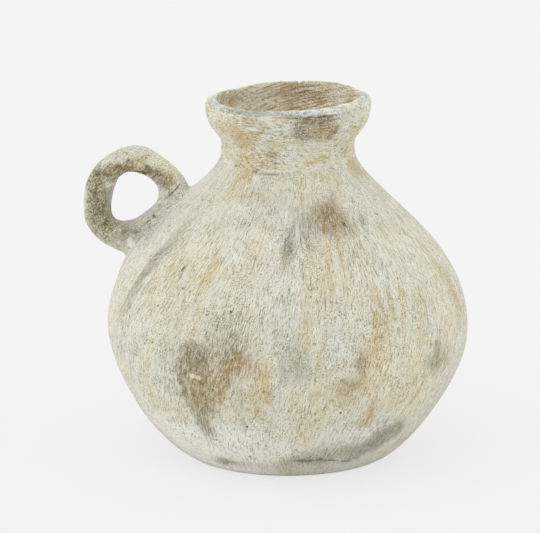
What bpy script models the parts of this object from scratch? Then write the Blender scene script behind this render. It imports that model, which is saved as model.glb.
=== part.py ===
"""Hand-built terracotta jug vase with one finger loop on its shoulder.

Lengths are metres, +Z is up and the origin is the centre of the foot. The loop handle stands on the
-X side, in the XZ plane. Each clay member that the potter formed by itself is one closed solid, and
members that were luted together face each other across SEAT_GAP.
"""

import bpy
import bmesh
from math import cos, pi, radians, sin, tan
from mathutils import Vector

# Outer outline, from the foot up. A pull is how far the curve follows the tangent at its knot.
FOOT_RADIUS = 0.0580
FOOT_TURN = radians(5.7)
FOOT_PULL = 0.0147
BELLY_RADIUS = 0.1100
BELLY_HEIGHT = 0.0799
BELLY_PULL_BELOW = 0.0323
BELLY_PULL_ABOVE = 0.0358
SHOULDER_RADIUS = 0.0671
SHOULDER_RISE = 0.0742
SHOULDER_SLOPE = radians(45.4)
SHOULDER_PULL_BELOW = 0.0251
SHOULDER_PULL_ABOVE = 0.0292
WAIST_RADIUS = 0.0405
WAIST_RISE = 0.0388
WAIST_PULL_BELOW = 0.0139
WAIST_PULL_ABOVE = 0.0079
LIP_RADIUS = 0.0504
LIP_RISE = 0.0236
LIP_PULL = 0.0146
CROWN_RISE = 0.0052
INNER_EDGE_RADIUS = 0.0015
RIM_TILT = radians(1.6)

# Clay thickness, measured square to the outer surface.
FLOOR_THICKNESS = 0.0080
WALL_THICKNESS = 0.0070
NECK_THICKNESS = 0.0070

# Where the turned members meet. A drop is how much lower the inner end of a slanted seat lies.
SEAT_GAP = 0.0003
BASE_SEAM_HEIGHT = 0.0120
BASE_SEAT_DROP = 0.0040
NECK_SEAM_BELOW_WAIST = 0.0090
NECK_SEAT_DROP = 0.0060
LIP_SEAM_TURN = radians(34.0)
LIP_SEAT_DROP = 0.0025

# Loop handle. Its finger hole and its outline are two ovals, placed from the wall behind them.
HANDLE_BELOW_SHOULDER = 0.0114
HOLE_STANDOFF = 0.0222
HOLE_LONG = 0.0386
HOLE_SHORT = 0.0266
HOLE_TILT = radians(11.7)
HOLE_LOBE = 0.0012
HOLE_LOBE_TURN = radians(15.4)
LOOP_LONG = 0.0670
LOOP_SHORT = 0.0619
LOOP_TILT = radians(24.0)
LOOP_SAG = 0.0024
LOOP_TUCK = 0.0022
LOOP_DEPTH = 0.0220
LOOP_EDGE_RADIUS = 0.0035
LOOP_ROUNDNESS = 2.3

# Turns about the hole's centre, from straight away from the wall; positive goes over the top.
LOOP_UPPER_END = radians(110.0)
LOOP_LOWER_END = radians(-120.0)
LUTING_SPLIT = radians(163.0)
FLARE_REACH = 0.0150
UPPER_FLARE = 0.0066
LOWER_FLARE = 0.0016
SIDE_FLARE = 0.0030

# How finely the curves are divided.
AROUND = 64
CURVE_SAMPLES = 120
BODY_STEP = 0.0095
NECK_STEP = 0.0045
CUTTER_STEP = 0.0045
SEAM_STEPS = 2
CROWN_STEPS = 6
EDGE_STEPS = 3
LOOP_STEP = radians(7.0)
CORNER_STEPS = 2
BACK_STEPS = 4
SMOOTH_ANGLE = radians(40.0)
MERGE_DISTANCE = 0.000001


def clear_scene():
    """Start from an empty scene."""
    for old in list(bpy.data.objects):
        bpy.data.objects.remove(old, do_unlink=True)


class Outline:
    """A curve in the (radius, height) plane that can be read by its length or by height."""

    def __init__(self, points):
        self.points = points
        self.heights = [p.y for p in points]
        self.lengths = [0.0]
        for here, there in zip(points, points[1:]):
            self.lengths.append(self.lengths[-1] + (there - here).length)

    def locate(self, keys, value):
        """The stretch that holds a value, and the share of the stretch before it."""
        i = 1
        while i < len(keys) - 1 and keys[i] < value:
            i += 1
        return i, (value - keys[i - 1]) / (keys[i] - keys[i - 1])

    def point(self, length):
        i, share = self.locate(self.lengths, length)
        return self.points[i - 1].lerp(self.points[i], share)

    def tangent(self, length):
        i, _ = self.locate(self.lengths, length)
        return (self.points[i] - self.points[i - 1]).normalized()

    def normal(self, length):
        along = self.tangent(length)
        return Vector((along.y, -along.x))

    def length_at(self, height):
        i, share = self.locate(self.heights, height)
        return self.lengths[i - 1] + share * (self.lengths[i] - self.lengths[i - 1])


def direction(angle):
    return Vector((cos(angle), sin(angle)))


def bezier(start, start_pull, end_pull, end):
    """Points along a cubic curve whose two pulls are steps away from its ends."""
    points = []
    for i in range(CURVE_SAMPLES + 1):
        t = i / CURVE_SAMPLES
        near = (1 - t) ** 3 * start + 3 * t * (1 - t) ** 2 * (start + start_pull)
        far = 3 * t * t * (1 - t) * (end + end_pull) + t ** 3 * end
        points.append(near + far)
    return points


# Knots of the outer outline.
UPRIGHT = Vector((0.0, 1.0))
INWARD = direction(pi - SHOULDER_SLOPE)
FOOT = Vector((FOOT_RADIUS, 0.0))
BELLY = Vector((BELLY_RADIUS, BELLY_HEIGHT))
SHOULDER = Vector((SHOULDER_RADIUS, BELLY.y + SHOULDER_RISE))
WAIST = Vector((WAIST_RADIUS, SHOULDER.y + WAIST_RISE))
LIP = Vector((LIP_RADIUS, WAIST.y + LIP_RISE))


def wall_outline():
    """The outer surface from the foot to the widest part of the lip, and the length at each knot."""
    bowl = bezier(FOOT, direction(FOOT_TURN) * FOOT_PULL, -UPRIGHT * BELLY_PULL_BELOW, BELLY)
    dome = bezier(BELLY, UPRIGHT * BELLY_PULL_ABOVE, -INWARD * SHOULDER_PULL_BELOW, SHOULDER)
    throat = bezier(SHOULDER, INWARD * SHOULDER_PULL_ABOVE, -UPRIGHT * WAIST_PULL_BELOW, WAIST)
    mouth = bezier(WAIST, UPRIGHT * WAIST_PULL_ABOVE, -UPRIGHT * LIP_PULL, LIP)
    outline = Outline(bowl + dome[1:] + throat[1:] + mouth[1:])
    return outline, outline.lengths[::CURVE_SAMPLES]


WALL, KNOT_LENGTHS = wall_outline()
KNOT_THICKNESS = (FLOOR_THICKNESS, WALL_THICKNESS, WALL_THICKNESS, NECK_THICKNESS, NECK_THICKNESS)
FOOT_LENGTH = KNOT_LENGTHS[0]
LIP_LENGTH = KNOT_LENGTHS[-1]


def thickness(length):
    """Clay thickness at a length along the outer outline."""
    i = 1
    while i < len(KNOT_LENGTHS) - 1 and KNOT_LENGTHS[i] < length:
        i += 1
    share = (length - KNOT_LENGTHS[i - 1]) / (KNOT_LENGTHS[i] - KNOT_LENGTHS[i - 1])
    return KNOT_THICKNESS[i - 1] * (1 - share) + KNOT_THICKNESS[i] * share


def outer(length):
    return WALL.point(length)


def inner(length):
    return WALL.point(length) - WALL.normal(length) * thickness(length)


def trace(surface, start, end, steps):
    """Evenly spaced points on a surface, from one parameter to another."""
    return [surface(start + (end - start) * i / steps) for i in range(steps + 1)]


def walk(surface, start, end, step):
    """Points on one face of the wall between two lengths, about one step apart."""
    return trace(surface, start, end, max(2, round(abs(end - start) / step)))


def half_gap(along, seat):
    """How far a seat's end moves along a surface to open half of SEAT_GAP across the seat."""
    across = abs(along.x * seat.y - along.y * seat.x) / seat.length
    return 0.5 * SEAT_GAP / across


def wall_seat(seam, drop):
    """Lengths at the outer and inner ends of a slanted seat in the wall, and half of its opening."""
    inside = seam - drop
    return seam, inside, half_gap(WALL.tangent(seam), outer(seam) - inner(inside))


NECK_SEAM_HEIGHT = WAIST.y - NECK_SEAM_BELOW_WAIST
BASE_SEAM, BASE_INSIDE, BASE_SHIFT = wall_seat(WALL.length_at(BASE_SEAM_HEIGHT), BASE_SEAT_DROP)
NECK_SEAM, NECK_INSIDE, NECK_SHIFT = wall_seat(WALL.length_at(NECK_SEAM_HEIGHT), NECK_SEAT_DROP)


def finish_mesh(name, bm):
    """Point the faces out, shade the round stretches smooth and add the object to the scene."""
    bmesh.ops.recalc_face_normals(bm, faces=bm.faces)
    mesh = bpy.data.meshes.new(name)
    bm.to_mesh(mesh)
    bm.free()
    mesh.shade_smooth()
    mesh.set_sharp_from_angle(angle=SMOOTH_ANGLE)
    obj = bpy.data.objects.new(name, mesh)
    bpy.context.scene.collection.objects.link(obj)
    return obj


def revolve(name, section, hollow):
    """Turn a section about the Z axis: a hollow one is a closed ring, another gets two flat caps."""
    bm = bmesh.new()
    verts = [bm.verts.new((p.x, 0.0, p.y)) for p in section]
    edges = [bm.edges.new(pair) for pair in zip(verts, verts[1:])]
    if hollow:
        edges.append(bm.edges.new((verts[-1], verts[0])))
    bmesh.ops.spin(bm, geom=verts + edges, cent=(0, 0, 0), axis=(0, 0, 1), angle=2 * pi,
                   steps=AROUND, use_merge=True)
    bmesh.ops.remove_doubles(bm, verts=bm.verts, dist=MERGE_DISTANCE)
    bmesh.ops.holes_fill(bm, edges=bm.edges, sides=AROUND)
    return finish_mesh(name, bm)


def tilt_rim(obj):
    """Lean the mouth towards the handle, from nothing at the neck's seam to RIM_TILT at the lip."""
    for vert in obj.data.vertices:
        share = min(1.0, max(0.0, (vert.co.z - NECK_SEAM_HEIGHT) / (LIP.y - NECK_SEAM_HEIGHT)))
        vert.co.z += vert.co.x * tan(RIM_TILT) * share * share * (3.0 - 2.0 * share)


def make_base_dish():
    """The floor slab, pressed in a shallow dish so that its edge turns up into the wall."""
    turned_up = walk(outer, FOOT_LENGTH, BASE_SEAM - BASE_SHIFT, BODY_STEP)
    inside = walk(inner, BASE_INSIDE - BASE_SHIFT, FOOT_LENGTH, BODY_STEP)
    return revolve("base_dish", turned_up + inside, hollow=False)


def make_belly_wall():
    """The swelling wall, from its seat on the dish to the bevelled edge under the neck."""
    outside = walk(outer, BASE_SEAM + BASE_SHIFT, NECK_SEAM - NECK_SHIFT, BODY_STEP)
    inside = walk(inner, NECK_INSIDE - NECK_SHIFT, BASE_INSIDE + BASE_SHIFT, BODY_STEP)
    return revolve("belly_wall", outside + inside, hollow=True)


CROWN_RUN = NECK_THICKNESS - INNER_EDGE_RADIUS


def crown(turn):
    """A point on the lip's rounded top, from its widest part at 0 to its crest at pi / 2."""
    return Vector((LIP.x - CROWN_RUN + CROWN_RUN * cos(turn), LIP.y + CROWN_RISE * sin(turn)))


def inner_edge(turn):
    """A point on the small round from the lip's crest at pi / 2 to the inside of the neck at pi."""
    middle = Vector((LIP.x - CROWN_RUN, LIP.y + CROWN_RISE - INNER_EDGE_RADIUS))
    return middle + direction(turn) * INNER_EDGE_RADIUS


def lip_seat(side):
    """The crown's turn and the wall's length at the ends of the lip's seat; side is 1 above it."""
    inside = LIP_LENGTH - LIP_SEAT_DROP
    seat = crown(LIP_SEAM_TURN) - inner(inside)
    along_crown = Vector((-CROWN_RUN * sin(LIP_SEAM_TURN), CROWN_RISE * cos(LIP_SEAM_TURN)))
    turn = LIP_SEAM_TURN + side * half_gap(along_crown, seat)
    return turn, inside + side * half_gap(WALL.tangent(inside), seat)


def make_neck_collar():
    """The flaring neck, bevelled below to lap inside the wall and slanted above to carry the lip."""
    seam_turn, lip_inside = lip_seat(-1)
    outside = walk(outer, NECK_SEAM + NECK_SHIFT, LIP_LENGTH, NECK_STEP)
    above = trace(crown, 0.0, seam_turn, SEAM_STEPS)[1:]
    inside = walk(inner, lip_inside, NECK_INSIDE + NECK_SHIFT, NECK_STEP)
    collar = revolve("neck_collar", outside + above + inside, hollow=True)
    tilt_rim(collar)
    return collar


def make_lip_coil():
    """The thin roll of clay that was pressed on the neck and smoothed into a rounded lip."""
    seam_turn, lip_inside = lip_seat(1)
    over = trace(crown, seam_turn, 0.5 * pi, CROWN_STEPS)
    edge = trace(inner_edge, 0.5 * pi, pi, EDGE_STEPS)[1:]
    inside = [inner(LIP_LENGTH), inner(lip_inside)]
    coil = revolve("lip_coil", over + edge + inside, hollow=True)
    tilt_rim(coil)
    return coil


# The wall point behind the loop, and the two directions that the loop is drawn in.
HANDLE_LENGTH = WALL.length_at(SHOULDER.y - HANDLE_BELOW_SHOULDER)
OUT = WALL.normal(HANDLE_LENGTH)
UP_WALL = WALL.tangent(HANDLE_LENGTH)


def oval_reach(long_size, short_size, tilt, middle, turn):
    """How far an oval lies from the hole's centre, along a turn; middle is its (up, out) offset."""
    ray = Vector((sin(turn), cos(turn)))
    long_way = direction(tilt)
    short_way = Vector((-long_way.y, long_way.x))
    start = Vector((middle.dot(long_way) / long_size, middle.dot(short_way) / short_size)) * -2
    step = Vector((ray.dot(long_way) / long_size, ray.dot(short_way) / short_size)) * 2
    a, b, c = step.dot(step), start.dot(step), start.dot(start) - 1.0
    return (-b + (b * b - a * c) ** 0.5) / a


def flare(off_wall):
    """The share of a root's flare at a distance off the wall: 1 on it, 0 beyond FLARE_REACH."""
    return min(1.0, max(0.0, 1.0 - off_wall / FLARE_REACH)) ** 2


def loop_section(turn, root_flare):
    """The strap's cross-section at one turn, as (distance from the hole's centre, Y) pairs."""
    near = oval_reach(HOLE_LONG, HOLE_SHORT, HOLE_TILT, Vector((0.0, 0.0)), turn)
    near += HOLE_LOBE * cos(3 * (turn - HOLE_LOBE_TURN))
    far = oval_reach(LOOP_LONG, LOOP_SHORT, LOOP_TILT, Vector((-LOOP_SAG, -LOOP_TUCK)), turn)
    far += root_flare * flare(HOLE_STANDOFF + far * cos(turn))
    half = 0.5 * LOOP_DEPTH
    side = []
    for i in range(CORNER_STEPS):
        angle = 0.5 * pi * i / CORNER_STEPS
        reach = near + LOOP_EDGE_RADIUS * (1.0 - cos(angle))
        side.append((reach, half - LOOP_EDGE_RADIUS * (1.0 - sin(angle))))
    for i in range(BACK_STEPS):
        angle = 0.5 * pi * i / BACK_STEPS
        rise = sin(angle) ** (2.0 / LOOP_ROUNDNESS)
        reach = near + LOOP_EDGE_RADIUS + (far - near - LOOP_EDGE_RADIUS) * rise
        side.append((reach, half * cos(angle) ** (2.0 / LOOP_ROUNDNESS)))
    return side + [(far, 0.0)] + [(reach, -y) for reach, y in reversed(side)]


def loop_point(turn, reach, y, shift):
    """A point of the loop in space; shift moves it square to its own section."""
    up = reach * sin(turn) + shift * cos(turn)
    off = HOLE_STANDOFF + reach * cos(turn) - shift * sin(turn)
    place = WALL.point(HANDLE_LENGTH) + UP_WALL * up + OUT * off
    wider = 1.0 + SIDE_FLARE * flare(off) / (0.5 * LOOP_DEPTH)
    return Vector((-place.x, y * wider, place.y))


def sweep_loop(name, start, end):
    """A stretch of the strap between two turns, with flat ends that leave SEAT_GAP to the next."""
    steps = max(2, round((end - start) / LOOP_STEP))
    bm = bmesh.new()
    loops = []
    for i in range(steps + 1):
        turn = start + (end - start) * i / steps
        shift = 0.5 * SEAT_GAP * ((i == 0) - (i == steps))
        root_flare = UPPER_FLARE if sin(turn) > 0.0 else LOWER_FLARE
        section = loop_section(turn, root_flare)
        ring = [bm.verts.new(loop_point(turn, reach, y, shift)) for reach, y in section]
        loops.append([bm.edges.new((ring[j - 1], ring[j])) for j in range(len(ring))])
    for here, there in zip(loops, loops[1:]):
        bmesh.ops.bridge_loops(bm, edges=here + there)
    bmesh.ops.contextual_create(bm, geom=loops[0])
    bmesh.ops.contextual_create(bm, geom=loops[-1])
    return finish_mesh(name, bm)


def proud(length):
    """The wall's outer face, raised by SEAT_GAP."""
    return WALL.point(length) + WALL.normal(length) * SEAT_GAP


def make_wall_cutter():
    """The space that the pot takes, SEAT_GAP proud of it, for cutting what is luted on its wall."""
    cutter = revolve("wall_cutter", walk(proud, FOOT_LENGTH, LIP_LENGTH, CUTTER_STEP), hollow=False)
    cutter.hide_render = True
    cutter.display_type = "WIRE"
    return cutter


def seat_on_wall(obj, cutter):
    """Cut a luted piece to the curve of the wall that it was pressed on."""
    cut = obj.modifiers.new("seat_on_wall", "BOOLEAN")
    cut.operation = "DIFFERENCE"
    cut.solver = "EXACT"
    cut.object = cutter


def linear(channel):
    """A screen colour value, 0 to 255, as the linear value that a shader takes."""
    value = channel / 255.0
    return value / 12.92 if value <= 0.04045 else ((value + 0.055) / 1.055) ** 2.4


def cover(obj, finish, colour, roughness):
    """Give a member its own fired-clay finish; colour is a screen colour."""
    material = bpy.data.materials.new(finish)
    material.use_nodes = True
    shader = material.node_tree.nodes["Principled BSDF"]
    shader.inputs["Base Color"].default_value = [linear(channel) for channel in colour] + [1.0]
    shader.inputs["Roughness"].default_value = roughness
    shader.inputs["Metallic"].default_value = 0.0
    obj.data.materials.append(material)


def build():
    clear_scene()
    dish = make_base_dish()
    wall = make_belly_wall()
    neck = make_neck_collar()
    lip = make_lip_coil()
    loop = sweep_loop("loop_handle", LOOP_LOWER_END, LOOP_UPPER_END)
    upper = sweep_loop("upper_root_luting", LOOP_UPPER_END, LUTING_SPLIT)
    lower = sweep_loop("lower_root_luting", LUTING_SPLIT, LOOP_LOWER_END + 2 * pi)
    cutter = make_wall_cutter()
    seat_on_wall(upper, cutter)
    seat_on_wall(lower, cutter)
    cover(dish, "foot_clay", (178, 172, 148), 0.95)
    cover(wall, "body_limewash", (203, 198, 178), 0.92)
    cover(neck, "neck_limewash", (203, 194, 168), 0.92)
    cover(lip, "lip_limewash", (208, 206, 194), 0.90)
    cover(loop, "handle_clay", (172, 165, 138), 0.95)
    cover(upper, "upper_luting_clay", (190, 187, 172), 0.95)
    cover(lower, "lower_luting_clay", (182, 177, 158), 0.95)


build()
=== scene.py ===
# %% [markdown]
# # A limewashed terracotta jug vase, dressed around its frame
#
# The real vase is built by hand from a few clay members: a pressed dish for the floor, a swelling wall, a
# flared neck, a thin lip coil and one finger loop that is luted on the shoulder. It is scraped along the
# wall, fired, and painted with thin limewash that has worn back to ochre, grey and brown clay.
#
# The frame holds those members as exact solids with few faces. This lesson makes a finer skin for each of
# them, in the same place, and gives it the potter's marks and the worn paint. Lengths are metres, the foot's
# centre is the origin, +Z is up, the loop stands on the -X side and the photograph was taken from -Y.

# %% Load the frame
import bpy
import bmesh
import numpy as np
from math import atan2, cos, degrees, hypot, pi, radians, sin, tan
from mathutils import Euler, Matrix, Vector, noise
from mathutils.bvhtree import BVHTree
from mathutils.geometry import interpolate_bezier


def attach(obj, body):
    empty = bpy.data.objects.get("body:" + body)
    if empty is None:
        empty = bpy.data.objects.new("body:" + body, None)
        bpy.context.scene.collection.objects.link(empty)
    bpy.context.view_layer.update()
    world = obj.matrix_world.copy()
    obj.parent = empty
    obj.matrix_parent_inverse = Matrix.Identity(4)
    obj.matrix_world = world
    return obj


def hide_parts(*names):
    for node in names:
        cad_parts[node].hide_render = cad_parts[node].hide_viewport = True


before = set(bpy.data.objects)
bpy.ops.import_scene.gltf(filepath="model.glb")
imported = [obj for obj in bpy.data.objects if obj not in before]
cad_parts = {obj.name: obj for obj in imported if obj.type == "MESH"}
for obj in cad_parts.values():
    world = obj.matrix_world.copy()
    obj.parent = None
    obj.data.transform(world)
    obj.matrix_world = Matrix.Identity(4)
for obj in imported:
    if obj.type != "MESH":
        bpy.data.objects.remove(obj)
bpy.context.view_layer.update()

print("frame members:", sorted(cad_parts))

# %% [markdown]
# ## The camera
#
# A long lens from three metres away flattens the vase as the photograph does. The camera stands six degrees
# to the right of the front and looks down a little, so that the mouth opens as a thin oval. Instead of
# shifting the lens, the camera aims at a point just left of the vase's axis, which puts the vase right of the
# middle of the picture.

# %% Camera
SENSOR_WIDTH = 36.0
LENS = 328.1
CAMERA_DISTANCE = 3.0
CAMERA_TURN = radians(6.0)
CAMERA_RISE = radians(13.95)
AXIS_POINT = Vector((0.0, 0.0, 0.115))
AIM_LEFT = 0.0108
AIM_UP = 0.0006
CLIP_START = 0.1
CLIP_END = 50.0


def make_camera():
    data = bpy.data.cameras.new("photo_camera")
    data.sensor_width = SENSOR_WIDTH
    data.lens = LENS
    data.clip_start = CLIP_START
    data.clip_end = CLIP_END
    camera = bpy.data.objects.new("photo_camera", data)
    bpy.context.scene.collection.objects.link(camera)
    right = Vector((cos(CAMERA_TURN), sin(CAMERA_TURN), 0.0))
    level = Vector((sin(CAMERA_TURN), -cos(CAMERA_TURN), 0.0))
    back = level * cos(CAMERA_RISE) + Vector((0.0, 0.0, sin(CAMERA_RISE)))
    camera.location = AXIS_POINT + back * CAMERA_DISTANCE
    aim = AXIS_POINT - right * AIM_LEFT + back.cross(right) * AIM_UP
    camera.rotation_euler = (aim - camera.location).to_track_quat("-Z", "Y").to_euler()
    bpy.context.scene.camera = camera
    return camera


camera = make_camera()
bpy.context.scene.view_settings.view_transform = "Standard"
print("camera stands at", [round(value, 3) for value in camera.location])

# %% [markdown]
# ## Light and floor
#
# The photograph has the even light of a white tent: a bright surround and one broad soft lamp, high on the
# left. Together they add up to about one, so a colour renders about as it is written. The floor is a plain
# pale sheet that reaches past the picture's edges. In such a tent it is lit from below as well, so what the
# camera and reflections see of it is mostly its own even glow, and the vase's shadow stays soft and faint.

# %% Light and floor
BACKDROP = 244
SURROUND = 0.97
LAMP_POWER = 0.42
FLOOR_PAINT = 238
FLOOR_GLOW = 0.80
LAMP_SPREAD = radians(70.0)
LAMP_TILT = (radians(48.0), 0.0, radians(-38.0))
FLOOR_REACH = 12.0


def screen(red, green, blue):
    """A colour as it shows on a screen, 0 to 255, as the linear values that a shader takes."""
    values = []
    for channel in (red, green, blue):
        share = channel / 255.0
        values.append(share / 12.92 if share <= 0.04045 else ((share + 0.055) / 1.055) ** 2.4)
    return (values[0], values[1], values[2], 1.0)


def seen_rays(tree):
    """1 for rays from the camera, or that a glossy or a clear surface sends on, and 0 for light."""
    path = tree.nodes.new("ShaderNodeLightPath")
    total = path.outputs["Is Camera Ray"]
    for label in ("Is Glossy Ray", "Is Transmission Ray"):
        either = tree.nodes.new("ShaderNodeMath")
        either.operation = "MAXIMUM"
        tree.links.new(total, either.inputs[0])
        tree.links.new(path.outputs[label], either.inputs[1])
        total = either.outputs[0]
    return total


def make_surround():
    world = bpy.data.worlds.new("white_tent")
    world.use_nodes = True
    tree = world.node_tree
    light = tree.nodes["Background"]
    light.inputs["Color"].default_value = (1.0, 1.0, 1.0, 1.0)
    light.inputs["Strength"].default_value = SURROUND
    seen = tree.nodes.new("ShaderNodeBackground")
    seen.inputs["Color"].default_value = screen(BACKDROP, BACKDROP, BACKDROP)
    mix = tree.nodes.new("ShaderNodeMixShader")
    tree.links.new(seen_rays(tree), mix.inputs["Fac"])
    tree.links.new(light.outputs["Background"], mix.inputs[1])
    tree.links.new(seen.outputs["Background"], mix.inputs[2])
    tree.links.new(mix.outputs["Shader"], tree.nodes["World Output"].inputs["Surface"])
    bpy.context.scene.world = world


def make_lamp():
    data = bpy.data.lights.new("broad_lamp", "SUN")
    data.energy = LAMP_POWER
    data.angle = LAMP_SPREAD
    lamp = bpy.data.objects.new("broad_lamp", data)
    lamp.rotation_euler = LAMP_TILT
    bpy.context.scene.collection.objects.link(lamp)


def make_floor():
    bm = bmesh.new()
    bmesh.ops.create_grid(bm, x_segments=1, y_segments=1, size=FLOOR_REACH)
    mesh = bpy.data.meshes.new("floor_sheet")
    bm.to_mesh(mesh)
    bm.free()
    floor = bpy.data.objects.new("floor_sheet", mesh)
    bpy.context.scene.collection.objects.link(floor)
    material = bpy.data.materials.new("pale_paper")
    material.use_nodes = True
    tree = material.node_tree
    shader = tree.nodes["Principled BSDF"]
    shader.inputs["Base Color"].default_value = screen(FLOOR_PAINT, FLOOR_PAINT, FLOOR_PAINT)
    shader.inputs["Roughness"].default_value = 1.0
    shader.inputs["Specular IOR Level"].default_value = 0.0
    glow = tree.nodes.new("ShaderNodeEmission")
    glow.inputs["Color"].default_value = screen(BACKDROP, BACKDROP, BACKDROP)
    share = tree.nodes.new("ShaderNodeMath")
    share.operation = "MULTIPLY"
    share.inputs[1].default_value = FLOOR_GLOW
    tree.links.new(seen_rays(tree), share.inputs[0])
    mix = tree.nodes.new("ShaderNodeMixShader")
    tree.links.new(share.outputs[0], mix.inputs["Fac"])
    tree.links.new(shader.outputs["BSDF"], mix.inputs[1])
    tree.links.new(glow.outputs["Emission"], mix.inputs[2])
    tree.links.new(mix.outputs["Shader"], tree.nodes["Material Output"].inputs["Surface"])
    mesh.materials.append(material)


make_surround()
make_lamp()
make_floor()
print("surround", SURROUND, "and lamp", LAMP_POWER)

# %% [markdown]
# ## The wall's outline
#
# A pot that is turned or coiled is a curve that goes round an axis. Five knots and their handles give the
# outer curve from foot to lip, and it is drawn here with Blender's own Bezier sampler. The inner face lies
# one clay thickness inside it, measured square to the wall.

# %% Outline
FOOT_RADIUS = 0.0580
FOOT_TURN = radians(5.7)
FOOT_PULL = 0.0147
BELLY_RADIUS = 0.1100
BELLY_HEIGHT = 0.0799
BELLY_PULL_BELOW = 0.0323
BELLY_PULL_ABOVE = 0.0358
SHOULDER_RADIUS = 0.0671
SHOULDER_HEIGHT = 0.1541
SHOULDER_SLOPE = radians(45.4)
SHOULDER_PULL_BELOW = 0.0251
SHOULDER_PULL_ABOVE = 0.0292
WAIST_RADIUS = 0.0405
WAIST_HEIGHT = 0.1929
WAIST_PULL_BELOW = 0.0139
WAIST_PULL_ABOVE = 0.0079
LIP_RADIUS = 0.0504
LIP_HEIGHT = 0.2165
LIP_PULL = 0.0146
FLOOR_THICKNESS = 0.0080
WALL_THICKNESS = 0.0070
CURVE_SAMPLES = 240
NUDGE = 0.0002

UP = Vector((0.0, 1.0))
INWARD = Vector((cos(pi - SHOULDER_SLOPE), sin(pi - SHOULDER_SLOPE)))
FOOT = Vector((FOOT_RADIUS, 0.0))
BELLY = Vector((BELLY_RADIUS, BELLY_HEIGHT))
SHOULDER = Vector((SHOULDER_RADIUS, SHOULDER_HEIGHT))
WAIST = Vector((WAIST_RADIUS, WAIST_HEIGHT))
LIP = Vector((LIP_RADIUS, LIP_HEIGHT))


def draw_outline():
    """Points of the outer curve as (radius, height) pairs, and the length along it at each knot."""
    foot_way = Vector((cos(FOOT_TURN), sin(FOOT_TURN)))
    runs = [
        (FOOT, FOOT + foot_way * FOOT_PULL, BELLY - UP * BELLY_PULL_BELOW, BELLY),
        (BELLY, BELLY + UP * BELLY_PULL_ABOVE, SHOULDER - INWARD * SHOULDER_PULL_BELOW, SHOULDER),
        (SHOULDER, SHOULDER + INWARD * SHOULDER_PULL_ABOVE, WAIST - UP * WAIST_PULL_BELOW, WAIST),
        (WAIST, WAIST + UP * WAIST_PULL_ABOVE, LIP - UP * LIP_PULL, LIP),
    ]
    points = [FOOT]
    for run in runs:
        points += interpolate_bezier(*run, CURVE_SAMPLES + 1)[1:]
    curve = np.array([point[:2] for point in points])
    steps = np.hypot(*np.diff(curve, axis=0).T)
    lengths = np.concatenate([[0.0], np.cumsum(steps)])
    return curve, lengths, lengths[::CURVE_SAMPLES]


CURVE, LENGTHS, KNOT_LENGTHS = draw_outline()
KNOT_THICKNESS = [FLOOR_THICKNESS] + [WALL_THICKNESS] * 4
FOOT_LENGTH = 0.0
LIP_LENGTH = float(LENGTHS[-1])


def on_curve(length):
    """The outer curve's point at a length, with the direction square to it, pointing out."""
    point, before, after = (
        Vector((float(np.interp(at, LENGTHS, CURVE[:, 0])), float(np.interp(at, LENGTHS, CURVE[:, 1]))))
        for at in (length, length - NUDGE, length + NUDGE)
    )
    along = (after - before).normalized()
    return point, Vector((along.y, -along.x))


def length_at(height):
    return float(np.interp(height, CURVE[:, 1], LENGTHS))


def radius_at(height):
    return float(np.interp(height, CURVE[:, 1], CURVE[:, 0]))


# %% [markdown]
# ## The potter's hand
#
# A hand-built wall is never a true surface of revolution. Broad swells come from drying, flat marks as wide
# as a rib tool come from scraping along the wall, and small lumps come from fingers. All of them are one
# function of place, so that two members which meet at a seam move together and no seam opens. Level ridges,
# left by the wiping finger, show on the neck alone. A few wide dents, where a hand held the soft pot, push
# the whole thickness of the wall towards the axis.

# %% Hand marks
SWELL_SIZE = 0.070
SWELL = 0.0009
SCRAPE_WIDTH = 0.020
SCRAPE_HEIGHT = 0.055
SCRAPE = 0.00045
LUMP_SIZE = 0.0085
LUMP = 0.00014
HOOP_SPACING = 0.0034
HOOP = 0.00022
HOOP_FROM = 0.178
HOOP_FULL = 0.190
DENTS = [
    dict(turn=-84.0, height=0.208, reach=42.0, tall=0.020, depth=0.0011),
    dict(turn=-84.0, height=0.176, reach=34.0, tall=0.026, depth=0.0016),
    dict(turn=84.0, height=0.186, reach=42.0, tall=0.016, depth=0.0008),
    dict(turn=-84.0, height=0.050, reach=50.0, tall=0.045, depth=0.0008),
    dict(turn=84.0, height=0.135, reach=50.0, tall=0.055, depth=0.0005),
]


def smooth_step(low, high, value):
    share = min(1.0, max(0.0, (value - low) / (high - low)))
    return share * share * (3.0 - 2.0 * share)


def hand_marks(place):
    """How far the potter's hand moved the outer face, in metres, at a place on it."""
    radius = max(0.001, hypot(place.x, place.y))
    around = Vector((place.x, place.y, 0.0)) / radius
    swell = SWELL * noise.noise(place / SWELL_SIZE)
    scrape_place = around * (BELLY_RADIUS / SCRAPE_WIDTH) + Vector((0.0, 0.0, place.z / SCRAPE_HEIGHT))
    scrape = SCRAPE * noise.noise(scrape_place)
    lump = LUMP * noise.noise(place / LUMP_SIZE)
    hoop_place = around + Vector((0.0, 0.0, place.z / HOOP_SPACING))
    hoop = HOOP * noise.noise(hoop_place) * smooth_step(HOOP_FROM, HOOP_FULL, place.z)
    return swell + scrape + lump + hoop


def turn_of(place):
    """The turn round the axis in degrees: 0 at the front, 90 on the +X side."""
    return degrees(atan2(place.x, -place.y))


def off_turn(place, middle):
    """How far a place lies round the axis from a turn, from -180 to 180 degrees."""
    return (turn_of(place) - middle + 180.0) % 360.0 - 180.0


def bump(offset, reach):
    """1 in the middle of a soft bump and 0 from its reach on."""
    return 1.0 - smooth_step(0.0, 1.0, abs(offset) / reach)


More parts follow.
